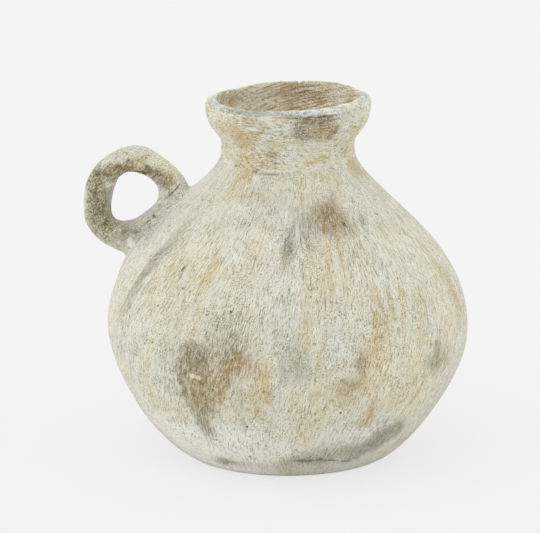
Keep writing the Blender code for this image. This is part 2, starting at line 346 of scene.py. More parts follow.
def dent_depth(place):
    """How far the wide dents push the wall towards the axis."""
    depth = 0.0
    for dent in DENTS:
        sideways = bump(off_turn(place, dent["turn"]), dent["reach"])
        depth += dent["depth"] * sideways * bump(place.z - dent["height"], dent["tall"])
    return depth


print("wide dents:", len(DENTS))

# %% [markdown]
# The foot was smeared on the floor slab with a tool, which left a broken row of gouges a finger's width above
# the table, and the lip coil was pressed down over a crease that never closed at the front. Both are grooves:
# a depth, a height on the wall and a stretch of the turn round the axis, ragged with a little noise.

# %% Grooves
GOUGES = [
    dict(turn=-22.0, reach=16.0, height=0.0105, width=0.0016, depth=0.0011),
    dict(turn=17.0, reach=13.0, height=0.0128, width=0.0014, depth=0.0010),
    dict(turn=38.0, reach=7.0, height=0.0135, width=0.0013, depth=0.0008),
    dict(turn=96.0, reach=24.0, height=0.0120, width=0.0015, depth=0.0009),
    dict(turn=168.0, reach=21.0, height=0.0110, width=0.0016, depth=0.0010),
    dict(turn=-112.0, reach=18.0, height=0.0130, width=0.0014, depth=0.0009),
]
CREASES = [
    dict(turn=24.0, reach=27.0, height=0.2196, width=0.0009, depth=0.0009),
    dict(turn=-160.0, reach=35.0, height=0.2194, width=0.0009, depth=0.0005),
    dict(turn=-70.0, reach=22.0, height=0.2194, width=0.0008, depth=0.0003),
]
CREASE_WANDER = 0.25
GROOVE_WANDER = 0.0022
GROOVE_WANDER_SIZE = 0.016
GROOVE_END = 0.75
GROOVE_BED = 0.2


def groove_depth(place, grooves, wander_share=1.0):
    """How deep the grooves cut at a place; they wander up and down a little."""
    wander = wander_share * GROOVE_WANDER * noise.noise(place / GROOVE_WANDER_SIZE)
    deepest = 0.0
    for groove in grooves:
        ends = 1.0 - smooth_step(GROOVE_END, 1.0, abs(off_turn(place, groove["turn"])) / groove["reach"])
        across = abs(place.z + wander - groove["height"]) / groove["width"]
        deepest = max(deepest, groove["depth"] * ends * (1.0 - smooth_step(GROOVE_BED, 1.0, across)))
    return deepest


print("gouges at the foot:", len(GOUGES), "and creases under the lip:", len(CREASES))

# %% [markdown]
# ## Turning a member
#
# Each member of the wall starts as its own section in the XZ plane: up the outer face, across a seam and down
# the inner face. Turning it in 480 steps at once is slow, because every step searches the whole mesh, so a
# sixteenth of the round is spun first and then copied and turned four times, doubling each time. Three
# numbers stay with each point of the section and travel with the copies: the two parts of the direction out
# of the clay, and how far the point belongs to the inner face.

# %% Turn a section
SIXTEENTH_STEPS = 30
DOUBLINGS = 4
MERGE_DISTANCE = 0.000001
SHARP_FROM = radians(42.0)


def face_points(start, end, step, inner):
    """Section points on one face of the wall: (point, direction out of the clay, share inside)."""
    count = max(2, round(abs(end - start) / step))
    rows = []
    for length in np.linspace(start, end, count + 1):
        point, out = on_curve(float(length))
        if inner:
            point = point - out * float(np.interp(length, KNOT_LENGTHS, KNOT_THICKNESS))
            out = -out
        rows.append((point, out, float(inner)))
    return rows


def turn_section(rows, closed):
    """Turn a section about the Z axis. Layers keep the direction out of the clay and the share inside."""
    bm = bmesh.new()
    out_r, out_z, inside = (bm.verts.layers.float.new(name) for name in ("out_r", "out_z", "inside"))
    verts = []
    for point, out, share in rows:
        vert = bm.verts.new((point.x, 0.0, point.y))
        vert[out_r] = out.x
        vert[out_z] = out.y
        vert[inside] = share
        verts.append(vert)
    edges = [bm.edges.new(pair) for pair in zip(verts, verts[1:])]
    if closed:
        edges.append(bm.edges.new((verts[-1], verts[0])))
    angle = 2.0 * pi / 2 ** DOUBLINGS
    bmesh.ops.spin(bm, geom=verts + edges, cent=(0, 0, 0), axis=(0, 0, 1),
                   angle=angle, steps=SIXTEENTH_STEPS)
    for _ in range(DOUBLINGS):
        copied = bmesh.ops.duplicate(bm, geom=bm.verts[:] + bm.edges[:] + bm.faces[:])["geom"]
        moved = [part for part in copied if isinstance(part, bmesh.types.BMVert)]
        bmesh.ops.rotate(bm, verts=moved, cent=(0, 0, 0), matrix=Matrix.Rotation(angle, 3, "Z"))
        angle *= 2.0
    bmesh.ops.remove_doubles(bm, verts=bm.verts, dist=MERGE_DISTANCE)
    bmesh.ops.recalc_face_normals(bm, faces=bm.faces)
    return bm


def out_direction(bm, vert):
    """The direction out of the clay that was kept with a turned vertex."""
    radius = hypot(vert.co.x, vert.co.y)
    out_z = vert[bm.verts.layers.float["out_z"]]
    if radius < MERGE_DISTANCE:
        return Vector((0.0, 0.0, 1.0 if out_z > 0.0 else -1.0))
    out_r = vert[bm.verts.layers.float["out_r"]] / radius
    return Vector((vert.co.x * out_r, vert.co.y * out_r, out_z))


def finish_piece(name, bm):
    """Make the mesh an object at the origin, shade it smooth and print what it holds."""
    mesh = bpy.data.meshes.new(name)
    bm.to_mesh(mesh)
    bm.free()
    mesh.shade_smooth()
    mesh.set_sharp_from_angle(angle=SHARP_FROM)
    piece = bpy.data.objects.new(name, mesh)
    bpy.context.scene.collection.objects.link(piece)
    triangles = sum(len(face.vertices) - 2 for face in mesh.polygons)
    print(name, "has", triangles, "triangles")
    return piece


# %% [markdown]
# ## The finger loop
#
# The loop is a strap of clay, bent round a finger hole and pressed on the shoulder. It is made as a potter
# would: a round coil is spun about the hole's centre, and then each of its points is pressed to the strap's
# real reach at that turn. The hole and the loop's back are two ovals, and the strap is flatter on the side
# of the hole than on its back. Fingers left both a little uneven: each dab has a turn, half its width in
# degrees, and how far it moves the clay away from the hole's centre.

# %% Loop sizes
HANDLE_HEIGHT = 0.1427
HOLE_STANDOFF = 0.0222
HOLE_LONG = 0.0374
HOLE_SHORT = 0.0254
HOLE_TILT = radians(11.7)
HOLE_LOBE = 0.0012
HOLE_LOBE_TURN = radians(15.4)
LOOP_LONG = 0.0670
LOOP_SHORT = 0.0619
LOOP_TILT = radians(24.0)
LOOP_SAG = 0.0024
LOOP_TUCK = 0.0022
LOOP_DEPTH = 0.0220
LOOP_EDGE = 0.0040
BACK_ROUNDNESS = 2.25
HOLE_SIDE_ROUNDNESS = 3.0
HOLE_DABS = [(73, 44, -0.0020), (-174, 66, 0.00125), (-38, 36, 0.00075), (-97, 22, 0.00085)]
BACK_DABS = [(79, 26, -0.00125), (46, 22, 0.0006), (13, 18, -0.0005), (-48, 28, -0.00075), (-77, 16, 0.0005),
             (-112, 20, -0.0010), (124, 20, 0.0008)]
COIL_RING = 0.0220
COIL_RADIUS = 0.0100
COIL_SIDES = 88
COIL_STEPS = 360
LOOP_UPPER_END = radians(110.0)
LOOP_LOWER_END = radians(-120.0)
LUTING_SPLIT = radians(163.0)
STRAP, UPPER_PAD, LOWER_PAD = 0, 1, 2

ROOT, ROOT_OUT = on_curve(length_at(HANDLE_HEIGHT))
ROOT_UP = Vector((-ROOT_OUT.y, ROOT_OUT.x))


def oval_reach(long_size, short_size, tilt, middle, turn):
    """How far an oval lies from the hole's centre at a turn; middle is its (up, out) offset."""
    ray = Vector((sin(turn), cos(turn)))
    long_way = Vector((cos(tilt), sin(tilt)))
    short_way = Vector((-long_way.y, long_way.x))
    start = Vector((middle.dot(long_way) / long_size, middle.dot(short_way) / short_size)) * -2
    step = Vector((ray.dot(long_way) / long_size, ray.dot(short_way) / short_size)) * 2
    a, b, c = step.dot(step), start.dot(step), start.dot(start) - 1.0
    return (-b + (b * b - a * c) ** 0.5) / a


def dabbed(turn, dabs):
    """How far the finger dabs move one side of the loop at a turn."""
    total = 0.0
    for middle, half, push in dabs:
        total += push * bump((degrees(turn) - middle + 180.0) % 360.0 - 180.0, half)
    return total


def loop_place(turn, reach, across):
    """A point of the loop: a turn and a reach about the hole's centre, and a distance across it."""
    flat = ROOT + ROOT_UP * (reach * sin(turn)) + ROOT_OUT * (HOLE_STANDOFF + reach * cos(turn))
    return Vector((-flat.x, across, flat.y))


def press_strap(vert):
    """Move a point of the spun coil to where the pressed strap has it."""
    turn = atan2(vert.co.z, vert.co.x)
    off_ring = (hypot(vert.co.x, vert.co.z) - COIL_RING) / COIL_RADIUS
    across = vert.co.y / COIL_RADIUS
    near = oval_reach(HOLE_LONG, HOLE_SHORT, HOLE_TILT, Vector((0.0, 0.0)), turn)
    near += HOLE_LOBE * cos(3 * (turn - HOLE_LOBE_TURN)) + dabbed(turn, HOLE_DABS)
    far = oval_reach(LOOP_LONG, LOOP_SHORT, LOOP_TILT, Vector((-LOOP_SAG, -LOOP_TUCK)), turn)
    far += dabbed(turn, BACK_DABS)
    roundness = BACK_ROUNDNESS if off_ring > 0.0 else HOLE_SIDE_ROUNDNESS
    length = hypot(off_ring, across)
    deep = abs(off_ring / length) ** (2.0 / roundness)
    wide = abs(across / length) ** (2.0 / roundness)
    middle = near + LOOP_EDGE
    reach = middle + deep * (far - middle) if off_ring > 0.0 else middle - deep * LOOP_EDGE
    vert.co = loop_place(turn, reach, (1.0 if across > 0.0 else -1.0) * wide * 0.5 * LOOP_DEPTH)


def member_at(turn):
    """The member of the loop that lies at a turn about the hole's centre."""
    if LOOP_LOWER_END < turn < LOOP_UPPER_END:
        return STRAP
    return UPPER_PAD if LOOP_UPPER_END < turn < LUTING_SPLIT else LOWER_PAD


def bend_coil():
    """The whole loop: a round coil whose faces know their member, with its points pressed to the strap."""
    bm = bmesh.new()
    start = Matrix.Translation((COIL_RING, 0.0, 0.0))
    bmesh.ops.create_circle(bm, cap_ends=False, radius=COIL_RADIUS, segments=COIL_SIDES, matrix=start)
    bmesh.ops.spin(bm, geom=bm.verts[:] + bm.edges[:], cent=(0, 0, 0), axis=(0, -1, 0),
                   angle=2.0 * pi, steps=COIL_STEPS, use_merge=True)
    mark = bm.faces.layers.int.new("member")
    for face in bm.faces:
        middle = face.calc_center_median()
        face[mark] = member_at(atan2(middle.z, middle.x))
    for vert in bm.verts:
        press_strap(vert)
    bmesh.ops.recalc_face_normals(bm, faces=bm.faces)
    return bm


whole_loop = bend_coil()
LOOP_SKIN = BVHTree.FromBMesh(whole_loop)
print("the coil has", len(whole_loop.verts), "points; the hole is", HOLE_SHORT * 1000, "mm the short way")

# %% [markdown]
# ## Where the loop joins the wall
#
# A potter smears clay over the joint and presses it into the corner. The smear is a thin layer on the wall
# and on the loop that runs out to nothing. The corner between the two layers is a fillet that they share: the
# curve whose distances a and b from the two faces satisfy sqrt(a) + sqrt(b) = sqrt(size) runs smoothly from
# one face into the other. The wall takes the half that is nearer to it and the loop the other half, and past
# the middle each goes on in a straight line inside the other, where nobody sees it. Above, below and beside
# the loop the potter pressed with different fingers, so each side has its own sizes, written as a vector: the
# fillet's size, and the smear's thickness on the wall and on the loop.

# %% Fillets
SIDE_CORNER = Vector((0.0130, 0.0, 0.0))
TOP_CORNER = Vector((0.0058, 0.0003, 0.0020))
BOTTOM_CORNER = Vector((0.0040, 0.0014, 0.0))
SMEAR_REACH = 0.0200
SMEAR_FULL = 0.0020
SUNK = 0.0020
SIDE_RISE = 1.5
UP_ALONG_WALL = Vector((-ROOT_UP.x, 0.0, ROOT_UP.y))


def corner_sizes(lateral):
    """The fillet's size and the smear on the wall and on the loop, where the loop's side faces this way."""
    way = lateral.normalized() if lateral.length > 1e-6 else Vector((0.0, 1.0, 0.0))
    up = way.dot(UP_ALONG_WALL)
    end = TOP_CORNER if up > 0.0 else BOTTOM_CORNER
    return SIDE_CORNER * (1.0 - up * up) + end * (up * up)


def corner_way(lateral):
    """The way along the wall in which the loop grows, shorter where the loop faces away from the wall."""
    return lateral.normalized() * min(1.0, lateral.length * SIDE_RISE)


def fillet(distance, size):
    """How far one face is drawn towards the other at a distance from it."""
    if distance >= size:
        return 0.0
    if distance <= 0.25 * size:
        return max(0.0, 0.5 * size - abs(distance))
    return (size ** 0.5 - distance ** 0.5) ** 2


def smear(distance, thickness):
    """The thin layer of clay at a distance from the corner."""
    return thickness * (1.0 - smooth_step(SMEAR_FULL, SMEAR_REACH, distance))


def raise_wall(place, out):
    """How far the smeared clay lifts the wall's outer face beside the loop."""
    near, loop_out, _, distance = LOOP_SKIN.find_nearest(place, SMEAR_REACH)
    if near is None:
        return 0.0
    if (place - near).dot(loop_out) < 0.0:
        distance = -2.0 * distance
    lateral = loop_out - out * loop_out.dot(out)
    size, wall_smear, loop_smear = corner_sizes(lateral)
    lift = smear(distance, wall_smear) + fillet(distance - loop_smear, size)
    return lift * corner_way(lateral).length


# %% [markdown]
# ## The rim
#
# The mouth leans a little towards the loop and its edge waves, because the lip coil was pressed round by
# hand. Three places were lifted or pressed down by a finger: each has a turn, a reach in degrees and a
# height. All of this only moves points up or down, more and more from the seam of the neck up to the lip.

# %% Rim
RIM_TILT = radians(1.6)
RIM_WAVES = [(1, 0.00030, 10.0), (2, 0.00035, 20.0), (3, 0.00030, 75.0), (5, 0.00018, 10.0),
             (9, 0.00008, 40.0)]
NECK_SEAM_HEIGHT = 0.1839
NICK_TURN = 177.0
NICK_WIDTH = 1.9
NICK_DEPTH = 0.0008
NICK_FADE = 0.0040
RIM_LIFTS = [(-140.0, 30.0, -0.0010), (-88.0, 30.0, 0.0011), (140.0, 26.0, 0.0006)]


def lift_rim(place):
    """The height that the rim's lean, waves and nick add at a place."""
    share = smooth_step(NECK_SEAM_HEIGHT, LIP_HEIGHT, place.z)
    if share == 0.0:
        return 0.0
    turn = turn_of(place)
    lift = place.x * tan(RIM_TILT)
    for lobes, height, phase in RIM_WAVES:
        lift += height * cos(lobes * radians(turn - phase))
    for middle, reach, height in RIM_LIFTS:
        lift += height * bump(off_turn(place, middle), reach)
    nick = NICK_DEPTH * max(0.0, 1.0 - abs(off_turn(place, NICK_TURN)) / NICK_WIDTH)
    return lift * share - nick * smooth_step(LIP_HEIGHT, LIP_HEIGHT + NICK_FADE, place.z)


# %% [markdown]
# ## The wall's members
#
# The seams sit where the potter joined the clay. Both members of a seam are cut at the same two lengths, so
# their edges fall on the same points and the joint closes. After turning, every point of the outer face is
# moved by the hand marks, grooves and fillets, and the inner face only by its own slow swells and the wide
# dents. The flat of the foot stays flat, because it stands on the table.

# %% Move the points of a turned member
INNER_SWELL = 0.0006
INNER_SWELL_SIZE = 0.030
FOOT_HOLD = 0.004


def shape_by_hand(bm, fillets=True):
    """Move the turned member's points as the potter's hands and tools did."""
    inside = bm.verts.layers.float["inside"]
    for vert in bm.verts:
        place = vert.co.copy()
        out = out_direction(bm, vert)
        grooves = groove_depth(place, GOUGES) + groove_depth(place, CREASES, CREASE_WANDER)
        outer_move = hand_marks(place) - grooves
        inner_move = INNER_SWELL * noise.noise(place / INNER_SWELL_SIZE)
        move = outer_move + (inner_move - outer_move) * vert[inside]
        move *= smooth_step(0.0, FOOT_HOLD, place.z)
        if fillets and vert[inside] == 0.0 and place.x < -WAIST_RADIUS:
            move += raise_wall(place, out)
        around = Vector((place.x, place.y, 0.0)).normalized()
        vert.co = place + out * move - around * dent_depth(place)
        vert.co.z += lift_rim(place)


# %% [markdown]
# The base dish starts at the axis under the foot and ends at the axis on the floor. The belly is a ring from
# the dish's seam to the neck's. The collar carries the first third of the lip's round, and the coil the rest
# of it with the small round into the mouth.

# %% Turned members
BASE_SEAM = length_at(0.0120)
BASE_INSIDE = BASE_SEAM - 0.0040
NECK_SEAM = length_at(NECK_SEAM_HEIGHT)
NECK_INSIDE = NECK_SEAM - 0.0060
LIP_SEAM_TURN = radians(34.0)
LIP_INSIDE = LIP_LENGTH - 0.0025
CROWN_RISE = 0.0052
INNER_EDGE = 0.0015
CROWN_RUN = WALL_THICKNESS - INNER_EDGE
CROWN_STEPS_BELOW = 4
CROWN_STEPS_ABOVE = 7
INNER_EDGE_STEPS = 5
FLOOR_RINGS = 14
OUTER_STEP = 0.0016
NECK_STEP = 0.0010
INNER_STEP = 0.0060


def floor_points(height, start, end, way):
    """Rings of the floor between two radii, under the foot or on top of the slab."""
    out = Vector((0.0, way))
    share = 1.0 if way > 0.0 else 0.0
    radii = np.linspace(start, end, FLOOR_RINGS + 1)
    return [(Vector((float(radius), height)), out, share) for radius in radii]


def crown_points(start, end, steps):
    """The lip's rounded top, from its widest part at 0 to its crest at a quarter turn."""
    rows = []
    for turn in np.linspace(start, end, steps + 1):
        point = Vector((LIP.x - CROWN_RUN + CROWN_RUN * cos(turn), LIP.y + CROWN_RISE * sin(turn)))
        out = Vector((cos(turn) / CROWN_RUN, sin(turn) / CROWN_RISE)).normalized()
        rows.append((point, out, 0.0))
    return rows


def edge_points(steps):
    """The small round from the lip's crest to the inside of the neck."""
    middle = Vector((LIP.x - CROWN_RUN, LIP.y + CROWN_RISE - INNER_EDGE))
    ways = [Vector((cos(turn), sin(turn))) for turn in np.linspace(0.5 * pi, pi, steps + 1)[1:]]
    return [(middle + way * INNER_EDGE, way, index / steps) for index, way in enumerate(ways, 1)]


def base_section():
    rows = floor_points(0.0, 0.0, FOOT_RADIUS, -1.0)[:-1]
    rows += face_points(FOOT_LENGTH, BASE_SEAM, OUTER_STEP, inner=False)
    rows += face_points(BASE_INSIDE, FOOT_LENGTH, INNER_STEP, inner=True)
    return rows + floor_points(FLOOR_THICKNESS, rows[-1][0].x, 0.0, 1.0)[1:]


def belly_section():
    rows = face_points(BASE_SEAM, NECK_SEAM, OUTER_STEP, inner=False)
    return rows + face_points(NECK_INSIDE, BASE_INSIDE, INNER_STEP, inner=True)


def neck_section():
    rows = face_points(NECK_SEAM, LIP_LENGTH, NECK_STEP, inner=False)
    rows += crown_points(0.0, LIP_SEAM_TURN, CROWN_STEPS_BELOW)[1:]
    return rows + face_points(LIP_INSIDE, NECK_INSIDE, 2.0 * NECK_STEP, inner=True)


def lip_section():
    rows = crown_points(LIP_SEAM_TURN, 0.5 * pi, CROWN_STEPS_ABOVE) + edge_points(INNER_EDGE_STEPS)
    return rows + face_points(LIP_LENGTH, LIP_INSIDE, NECK_STEP, inner=True)


def make_member(name, rows, closed=True):
    bm = turn_section(rows, closed)
    shape_by_hand(bm)
    return finish_piece(name, bm)


base = make_member("floor_dish", base_section(), closed=False)
belly = make_member("belly_shell", belly_section())
neck = make_member("flared_neck", neck_section())
lip = make_member("rolled_lip", lip_section())

# %% [markdown]
# ## The loop's three stretches
#
# The loop is finished whole, so that its parts match, and then cut where the clay was joined: the strap that
# takes the finger, and two pads of luting clay between it and the wall. To find the corner with the wall,
# each point of the loop is dropped on a bare copy of the wall that has the hand marks and no fillet.

# %% Finish the loop
LOOP_LUMP = 0.00042
LOOP_LUMP_SIZE = 0.013
LOOP_PINCH = 0.00016
LOOP_PINCH_SIZE = 0.0042
LOOP_MARKS_FADE = 0.0040
BARE_WALL_FROM = 0.080


def bare_wall():
    """A tree of the wall's outer face without fillets, to measure distances from."""
    rows = face_points(length_at(BARE_WALL_FROM), NECK_SEAM, OUTER_STEP, inner=False)
    bm = turn_section(rows, closed=False)
    shape_by_hand(bm, fillets=False)
    skin = BVHTree.FromBMesh(bm)
    bm.free()
    return skin


def loop_marks(place):
    """The dents that fingers leave on a strap of soft clay."""
    lump = LOOP_LUMP * noise.noise(place / LOOP_LUMP_SIZE)
    return lump + LOOP_PINCH * noise.noise(place / LOOP_PINCH_SIZE)


def lute_on_wall(bm, wall):
    """Draw the loop's points along the wall for the fillet, and end those that lie deep inside the clay."""
    bm.normal_update()
    moved = []
    for vert in bm.verts:
        near, out, _, _ = wall.find_nearest(vert.co)
        height = (vert.co - near).dot(out)
        lateral = vert.normal - out * vert.normal.dot(out)
        size, wall_smear, loop_smear = corner_sizes(lateral)
        push = smear(max(height, 0.0), loop_smear) + fillet(max(height - wall_smear, -SUNK), size)
        place = vert.co + vert.normal * loop_marks(vert.co) * smooth_step(0.0, LOOP_MARKS_FADE, height)
        place += corner_way(lateral) * push
        if height < -SUNK:
            place += out * (-SUNK - height)
        moved.append(place)
    for vert, place in zip(bm.verts, moved):
        vert.co = place


def cut_stretch(name, whole, member):
    """One member of the loop: its own faces of the whole, closed at both ends."""
    bm = whole.copy()
    mark = bm.faces.layers.int["member"]
    others = [face for face in bm.faces if face[mark] != member]
    bmesh.ops.delete(bm, geom=others, context="FACES")
    bmesh.ops.holes_fill(bm, edges=[edge for edge in bm.edges if edge.is_boundary], sides=0)
    bmesh.ops.recalc_face_normals(bm, faces=bm.faces)
    return finish_piece(name, bm)


lute_on_wall(whole_loop, bare_wall())
handle = cut_stretch("finger_loop", whole_loop, STRAP)
upper_pad = cut_stretch("upper_luting_pad", whole_loop, UPPER_PAD)
lower_pad = cut_stretch("lower_luting_pad", whole_loop, LOWER_PAD)
whole_loop.free()

# %% [markdown]
# ## Mixing the finishes
#
# A node material is a small program. These helpers add one node each and give back its output, so that a
# finish reads from top to bottom like a recipe. A colour is written as it shows on a screen.

# %% Node helpers
def add(tree, kind, inputs=None, **settings):
    """One shader node; its inputs, by name or number, take values or other nodes' outputs."""
    node = tree.nodes.new("ShaderNode" + kind)
    for name, value in settings.items():
        setattr(node, name, value)
    for name, value in (inputs or {}).items():
        if isinstance(value, bpy.types.NodeSocket):
            tree.links.new(value, node.inputs[name])
        else:
            node.inputs[name].default_value = value
    return node


def maths(tree, operation, first, second):
    return add(tree, "Math", {0: first, 1: second}, operation=operation).outputs[0]


def times(tree, first, second):
    return maths(tree, "MULTIPLY", first, second)


def plus(tree, first, second):
    return maths(tree, "ADD", first, second)


def minus(tree, first, second):
    return maths(tree, "SUBTRACT", first, second)


def weighed(tree, first, share, second):
    """Two values mixed; share is the first one's part."""
    return plus(tree, times(tree, first, share), times(tree, second, 1.0 - share))


def vectors(tree, operation, *values):
    return add(tree, "VectorMath", dict(enumerate(values)), operation=operation).outputs["Vector"]


def scaled(tree, vector, factor):
    return add(tree, "VectorMath", {0: vector, "Scale": factor}, operation="SCALE").outputs["Vector"]


def laid_over(tree, mask, under, over, blend="MIX"):
    """The colour under, covered by the colour over where the mask is 1; MULTIPLY tints it instead."""
    inputs = {"Factor": mask, "A": under, "B": over}
    mix = tree.nodes.new("ShaderNodeMix")
    mix.data_type = "RGBA"
    mix.blend_type = blend
    for socket in mix.inputs:
        if socket.enabled and socket.name in inputs:
            value = inputs[socket.name]
            if isinstance(value, bpy.types.NodeSocket):
                tree.links.new(value, socket)
            else:
                socket.default_value = value
    return next(socket for socket in mix.outputs if socket.enabled)


def between(tree, value, low, high, at_low=0.0, at_high=1.0):
    """A soft step of a value from one level to another."""
    inputs = {"Value": value, "From Min": low, "From Max": high, "To Min": at_low, "To Max": at_high}
    return add(tree, "MapRange", inputs, interpolation_type="SMOOTHSTEP").outputs["Result"]


def cloudy(tree, place, size, detail=2.0, shift=0.0):
    """Soft noise from 0 to 1 whose lumps are about this size; shift takes another part of the noise."""
    moved = vectors(tree, "ADD", place, (shift, shift, shift)) if shift else place
    return add(tree, "TexNoise", {"Vector": moved, "Scale": 1.0 / size, "Detail": detail}).outputs[0]


# %% [markdown]
# ## Effects that several finishes share
#
# The wall, the neck, the lip and the loop wear the same limewash, so each effect is a node group with named
# inputs. The first one lays noise along the wall: it takes a place, keeps only its direction from the axis
# and its height, and stretches both, so that a noise on it shows as brush strokes that run up the wall and
# close round it without a seam.

# %% Groups
def open_group(name, takes, gives):
    """A node group with its inputs (label: value) and outputs (label: kind)."""
    group = bpy.data.node_groups.new(name, "ShaderNodeTree")
    for label, value in takes.items():
        kind = "Float" if isinstance(value, float) else "Vector" if len(value) == 3 else "Color"
        socket = group.interface.new_socket(label, in_out="INPUT", socket_type="NodeSocket" + kind)
        socket.default_value = value
    for label, kind in gives.items():
        group.interface.new_socket(label, in_out="OUTPUT", socket_type="NodeSocket" + kind)
    return group, group.nodes.new("NodeGroupInput").outputs, group.nodes.new("NodeGroupOutput").inputs


def put(tree, group, inputs):
    """One use of a group in a tree, with its own values."""
    node = tree.nodes.new("ShaderNodeGroup")
    node.node_tree = group
    for label, value in inputs.items():
        if isinstance(value, bpy.types.NodeSocket):
            tree.links.new(value, node.inputs[label])
        else:
            node.inputs[label].default_value = value
    return node.outputs


def make_stroke_run():
    takes = {"Place": (0.0, 0.0, 0.0), "Lean": 0.0, "Width": 0.0016, "Length": 0.016}
    group, given, result = open_group("stroke_run", takes, {"Run": "Vector"})
    height = add(group, "SeparateXYZ", {0: given["Place"]}).outputs["Z"]
    angle = times(group, height, given["Lean"])
    leaning = add(group, "VectorRotate", {"Vector": given["Place"], "Angle": angle}, rotation_type="Z_AXIS")
    around = vectors(group, "NORMALIZE", vectors(group, "MULTIPLY", leaning.outputs[0], (1.0, 1.0, 0.0)))
    spread = scaled(group, around, maths(group, "DIVIDE", BELLY_RADIUS, given["Width"]))
    along = add(group, "CombineXYZ", {"Z": maths(group, "DIVIDE", height, given["Length"])}).outputs[0]
    group.links.new(vectors(group, "ADD", spread, along), result["Run"])
    return group


STROKE_RUN = make_stroke_run()

# %% [markdown]
# The limewash is not one colour. Thick wash is a cold chalk white, thin wash lets the warm clay through as
# cream and pale ochre, and the brush leaves thin dry lines. This group mixes those from broad clouds, sweeps
# a finger wide and strokes a bristle wide. Each paint lies where its noise is in that paint's band, which
# names the level where it starts and the level where it covers. The group also gives a ragged value, about
# zero on the whole, that frays the edges of stains.

# %% Limewash ground
CHALK = screen(231, 233, 230)
CREAM = screen(225, 222, 203)
PALE_OCHRE = screen(212, 198, 152)
OLD_WASH = screen(197, 198, 186)
WORN_LINE = screen(172, 163, 134)
CLOUD_SIZE = 0.034
PATCH_SIZE = 0.011
OCHRE_BAND = (0.49, 0.64)
GREY_BAND = (0.50, 0.34)
CHALK_BAND = (0.46, 0.66)
LINE_BAND = (0.56, 0.76)
LINE_GROOVE = 0.8
NOISE_MEAN = 0.5
RAGGED_SWING = 1.1


def make_ground():
    takes = {"Place": (0.0, 0.0, 0.0), "Strokes": (0.0, 0.0, 0.0), "Sweeps": (0.0, 0.0, 0.0),
             "Chalk": 0.5, "Ochre": 0.5, "Grey": 0.5, "Lines": 0.5}
    gives = {"Colour": "Color", "Ragged": "Float", "Height": "Float"}
    group, given, result = open_group("limewash_ground", takes, gives)
    place, strokes, sweeps = given["Place"], given["Strokes"], given["Sweeps"]
    clouds = cloudy(group, place, CLOUD_SIZE, 3.0)
    patches = cloudy(group, place, PATCH_SIZE, 4.0, shift=3.1)
    bristles = cloudy(group, strokes, 1.0, 2.0)
    dry_bristles = cloudy(group, strokes, 1.0, 2.0, shift=17.7)
    swipes = cloudy(group, sweeps, 1.0, 3.0, shift=5.3)
    warm = weighed(group, clouds, 0.5, swipes)
    cold = weighed(group, patches, 0.55, bristles)
    layers = [("Ochre", warm, OCHRE_BAND, PALE_OCHRE), ("Grey", warm, GREY_BAND, OLD_WASH),
              ("Chalk", cold, CHALK_BAND, CHALK), ("Lines", dry_bristles, LINE_BAND, WORN_LINE)]
    colour, cover = CREAM, {}
    for label, value, band, paint in layers:
        cover[label] = times(group, between(group, value, *band), given[label])
        colour = laid_over(group, cover[label], colour, paint)
    frayed = plus(group, bristles, plus(group, patches, dry_bristles))
    ragged = times(group, minus(group, frayed, 3.0 * NOISE_MEAN), RAGGED_SWING)
    group.links.new(colour, result["Colour"])
    group.links.new(ragged, result["Ragged"])
    group.links.new(minus(group, bristles, times(group, cover["Lines"], LINE_GROOVE)), result["Height"])
    return group


GROUND = make_ground()

# %% [markdown]
# Fine grain comes last, over the stains too: single hairs of the brush and fine sand tint whatever lies
# under them darker or lighter. Some places are combed by the hairs and others are sandy, and the brush
# pressed harder here and there and skipped in a few short dashes. A band may have two more numbers, what the
# value becomes at its start and at its end.

# %% Grain
SHADE = (0.54, 0.49, 0.37, 1.0)
CHALK_DUST = screen(244, 243, 236)
DUST_COVER = 0.6
DASH = screen(112, 102, 76)
SAND_SIZE = 0.0008
COMB_SIZE = 0.032
COMB_BAND = (0.40, 0.60, 0.40, 0.66)
PRESS_SIZE = 0.017
PRESS_BAND = (0.38, 0.62, 0.60, 1.15)
DARK_BAND = (0.50, 0.37)
LIGHT_BAND = (0.50, 0.63)
SKIP_SIZE = 0.9
DASH_BAND = (0.70, 0.80)


def make_grain():
    takes = {"Colour": (0.5, 0.5, 0.5, 1.0), "Place": (0.0, 0.0, 0.0), "Hairs": (0.0, 0.0, 0.0),
             "Skips": (0.0, 0.0, 0.0), "Dark": 0.5, "Light": 0.5, "Dashes": 0.5}
    group, given, result = open_group("clay_grain", takes, {"Colour": "Color", "Height": "Float"})
    hairs = cloudy(group, given["Hairs"], 1.0, 2.0, shift=9.4)
    sand = cloudy(group, given["Place"], SAND_SIZE, 1.5)
    combed = between(group, cloudy(group, given["Place"], COMB_SIZE, 2.0, shift=5.7), *COMB_BAND)
    marks = plus(group, sand, times(group, minus(group, hairs, sand), combed))
    press = between(group, cloudy(group, given["Place"], PRESS_SIZE, 2.0, shift=8.8), *PRESS_BAND)
    dark = times(group, times(group, between(group, marks, *DARK_BAND), given["Dark"]), press)
    light = times(group, between(group, marks, *LIGHT_BAND), given["Light"])
    skips = cloudy(group, given["Skips"], SKIP_SIZE, 0.0, shift=2.2)
    dashes = times(group, between(group, skips, *DASH_BAND), given["Dashes"])
    colour = laid_over(group, dark, given["Colour"], SHADE, "MULTIPLY")
    colour = laid_over(group, times(group, light, DUST_COVER), colour, CHALK_DUST)
    colour = laid_over(group, dashes, colour, DASH)
    group.links.new(colour, result["Colour"])
    group.links.new(minus(group, marks, dashes), result["Height"])
    return group


GRAIN = make_grain()

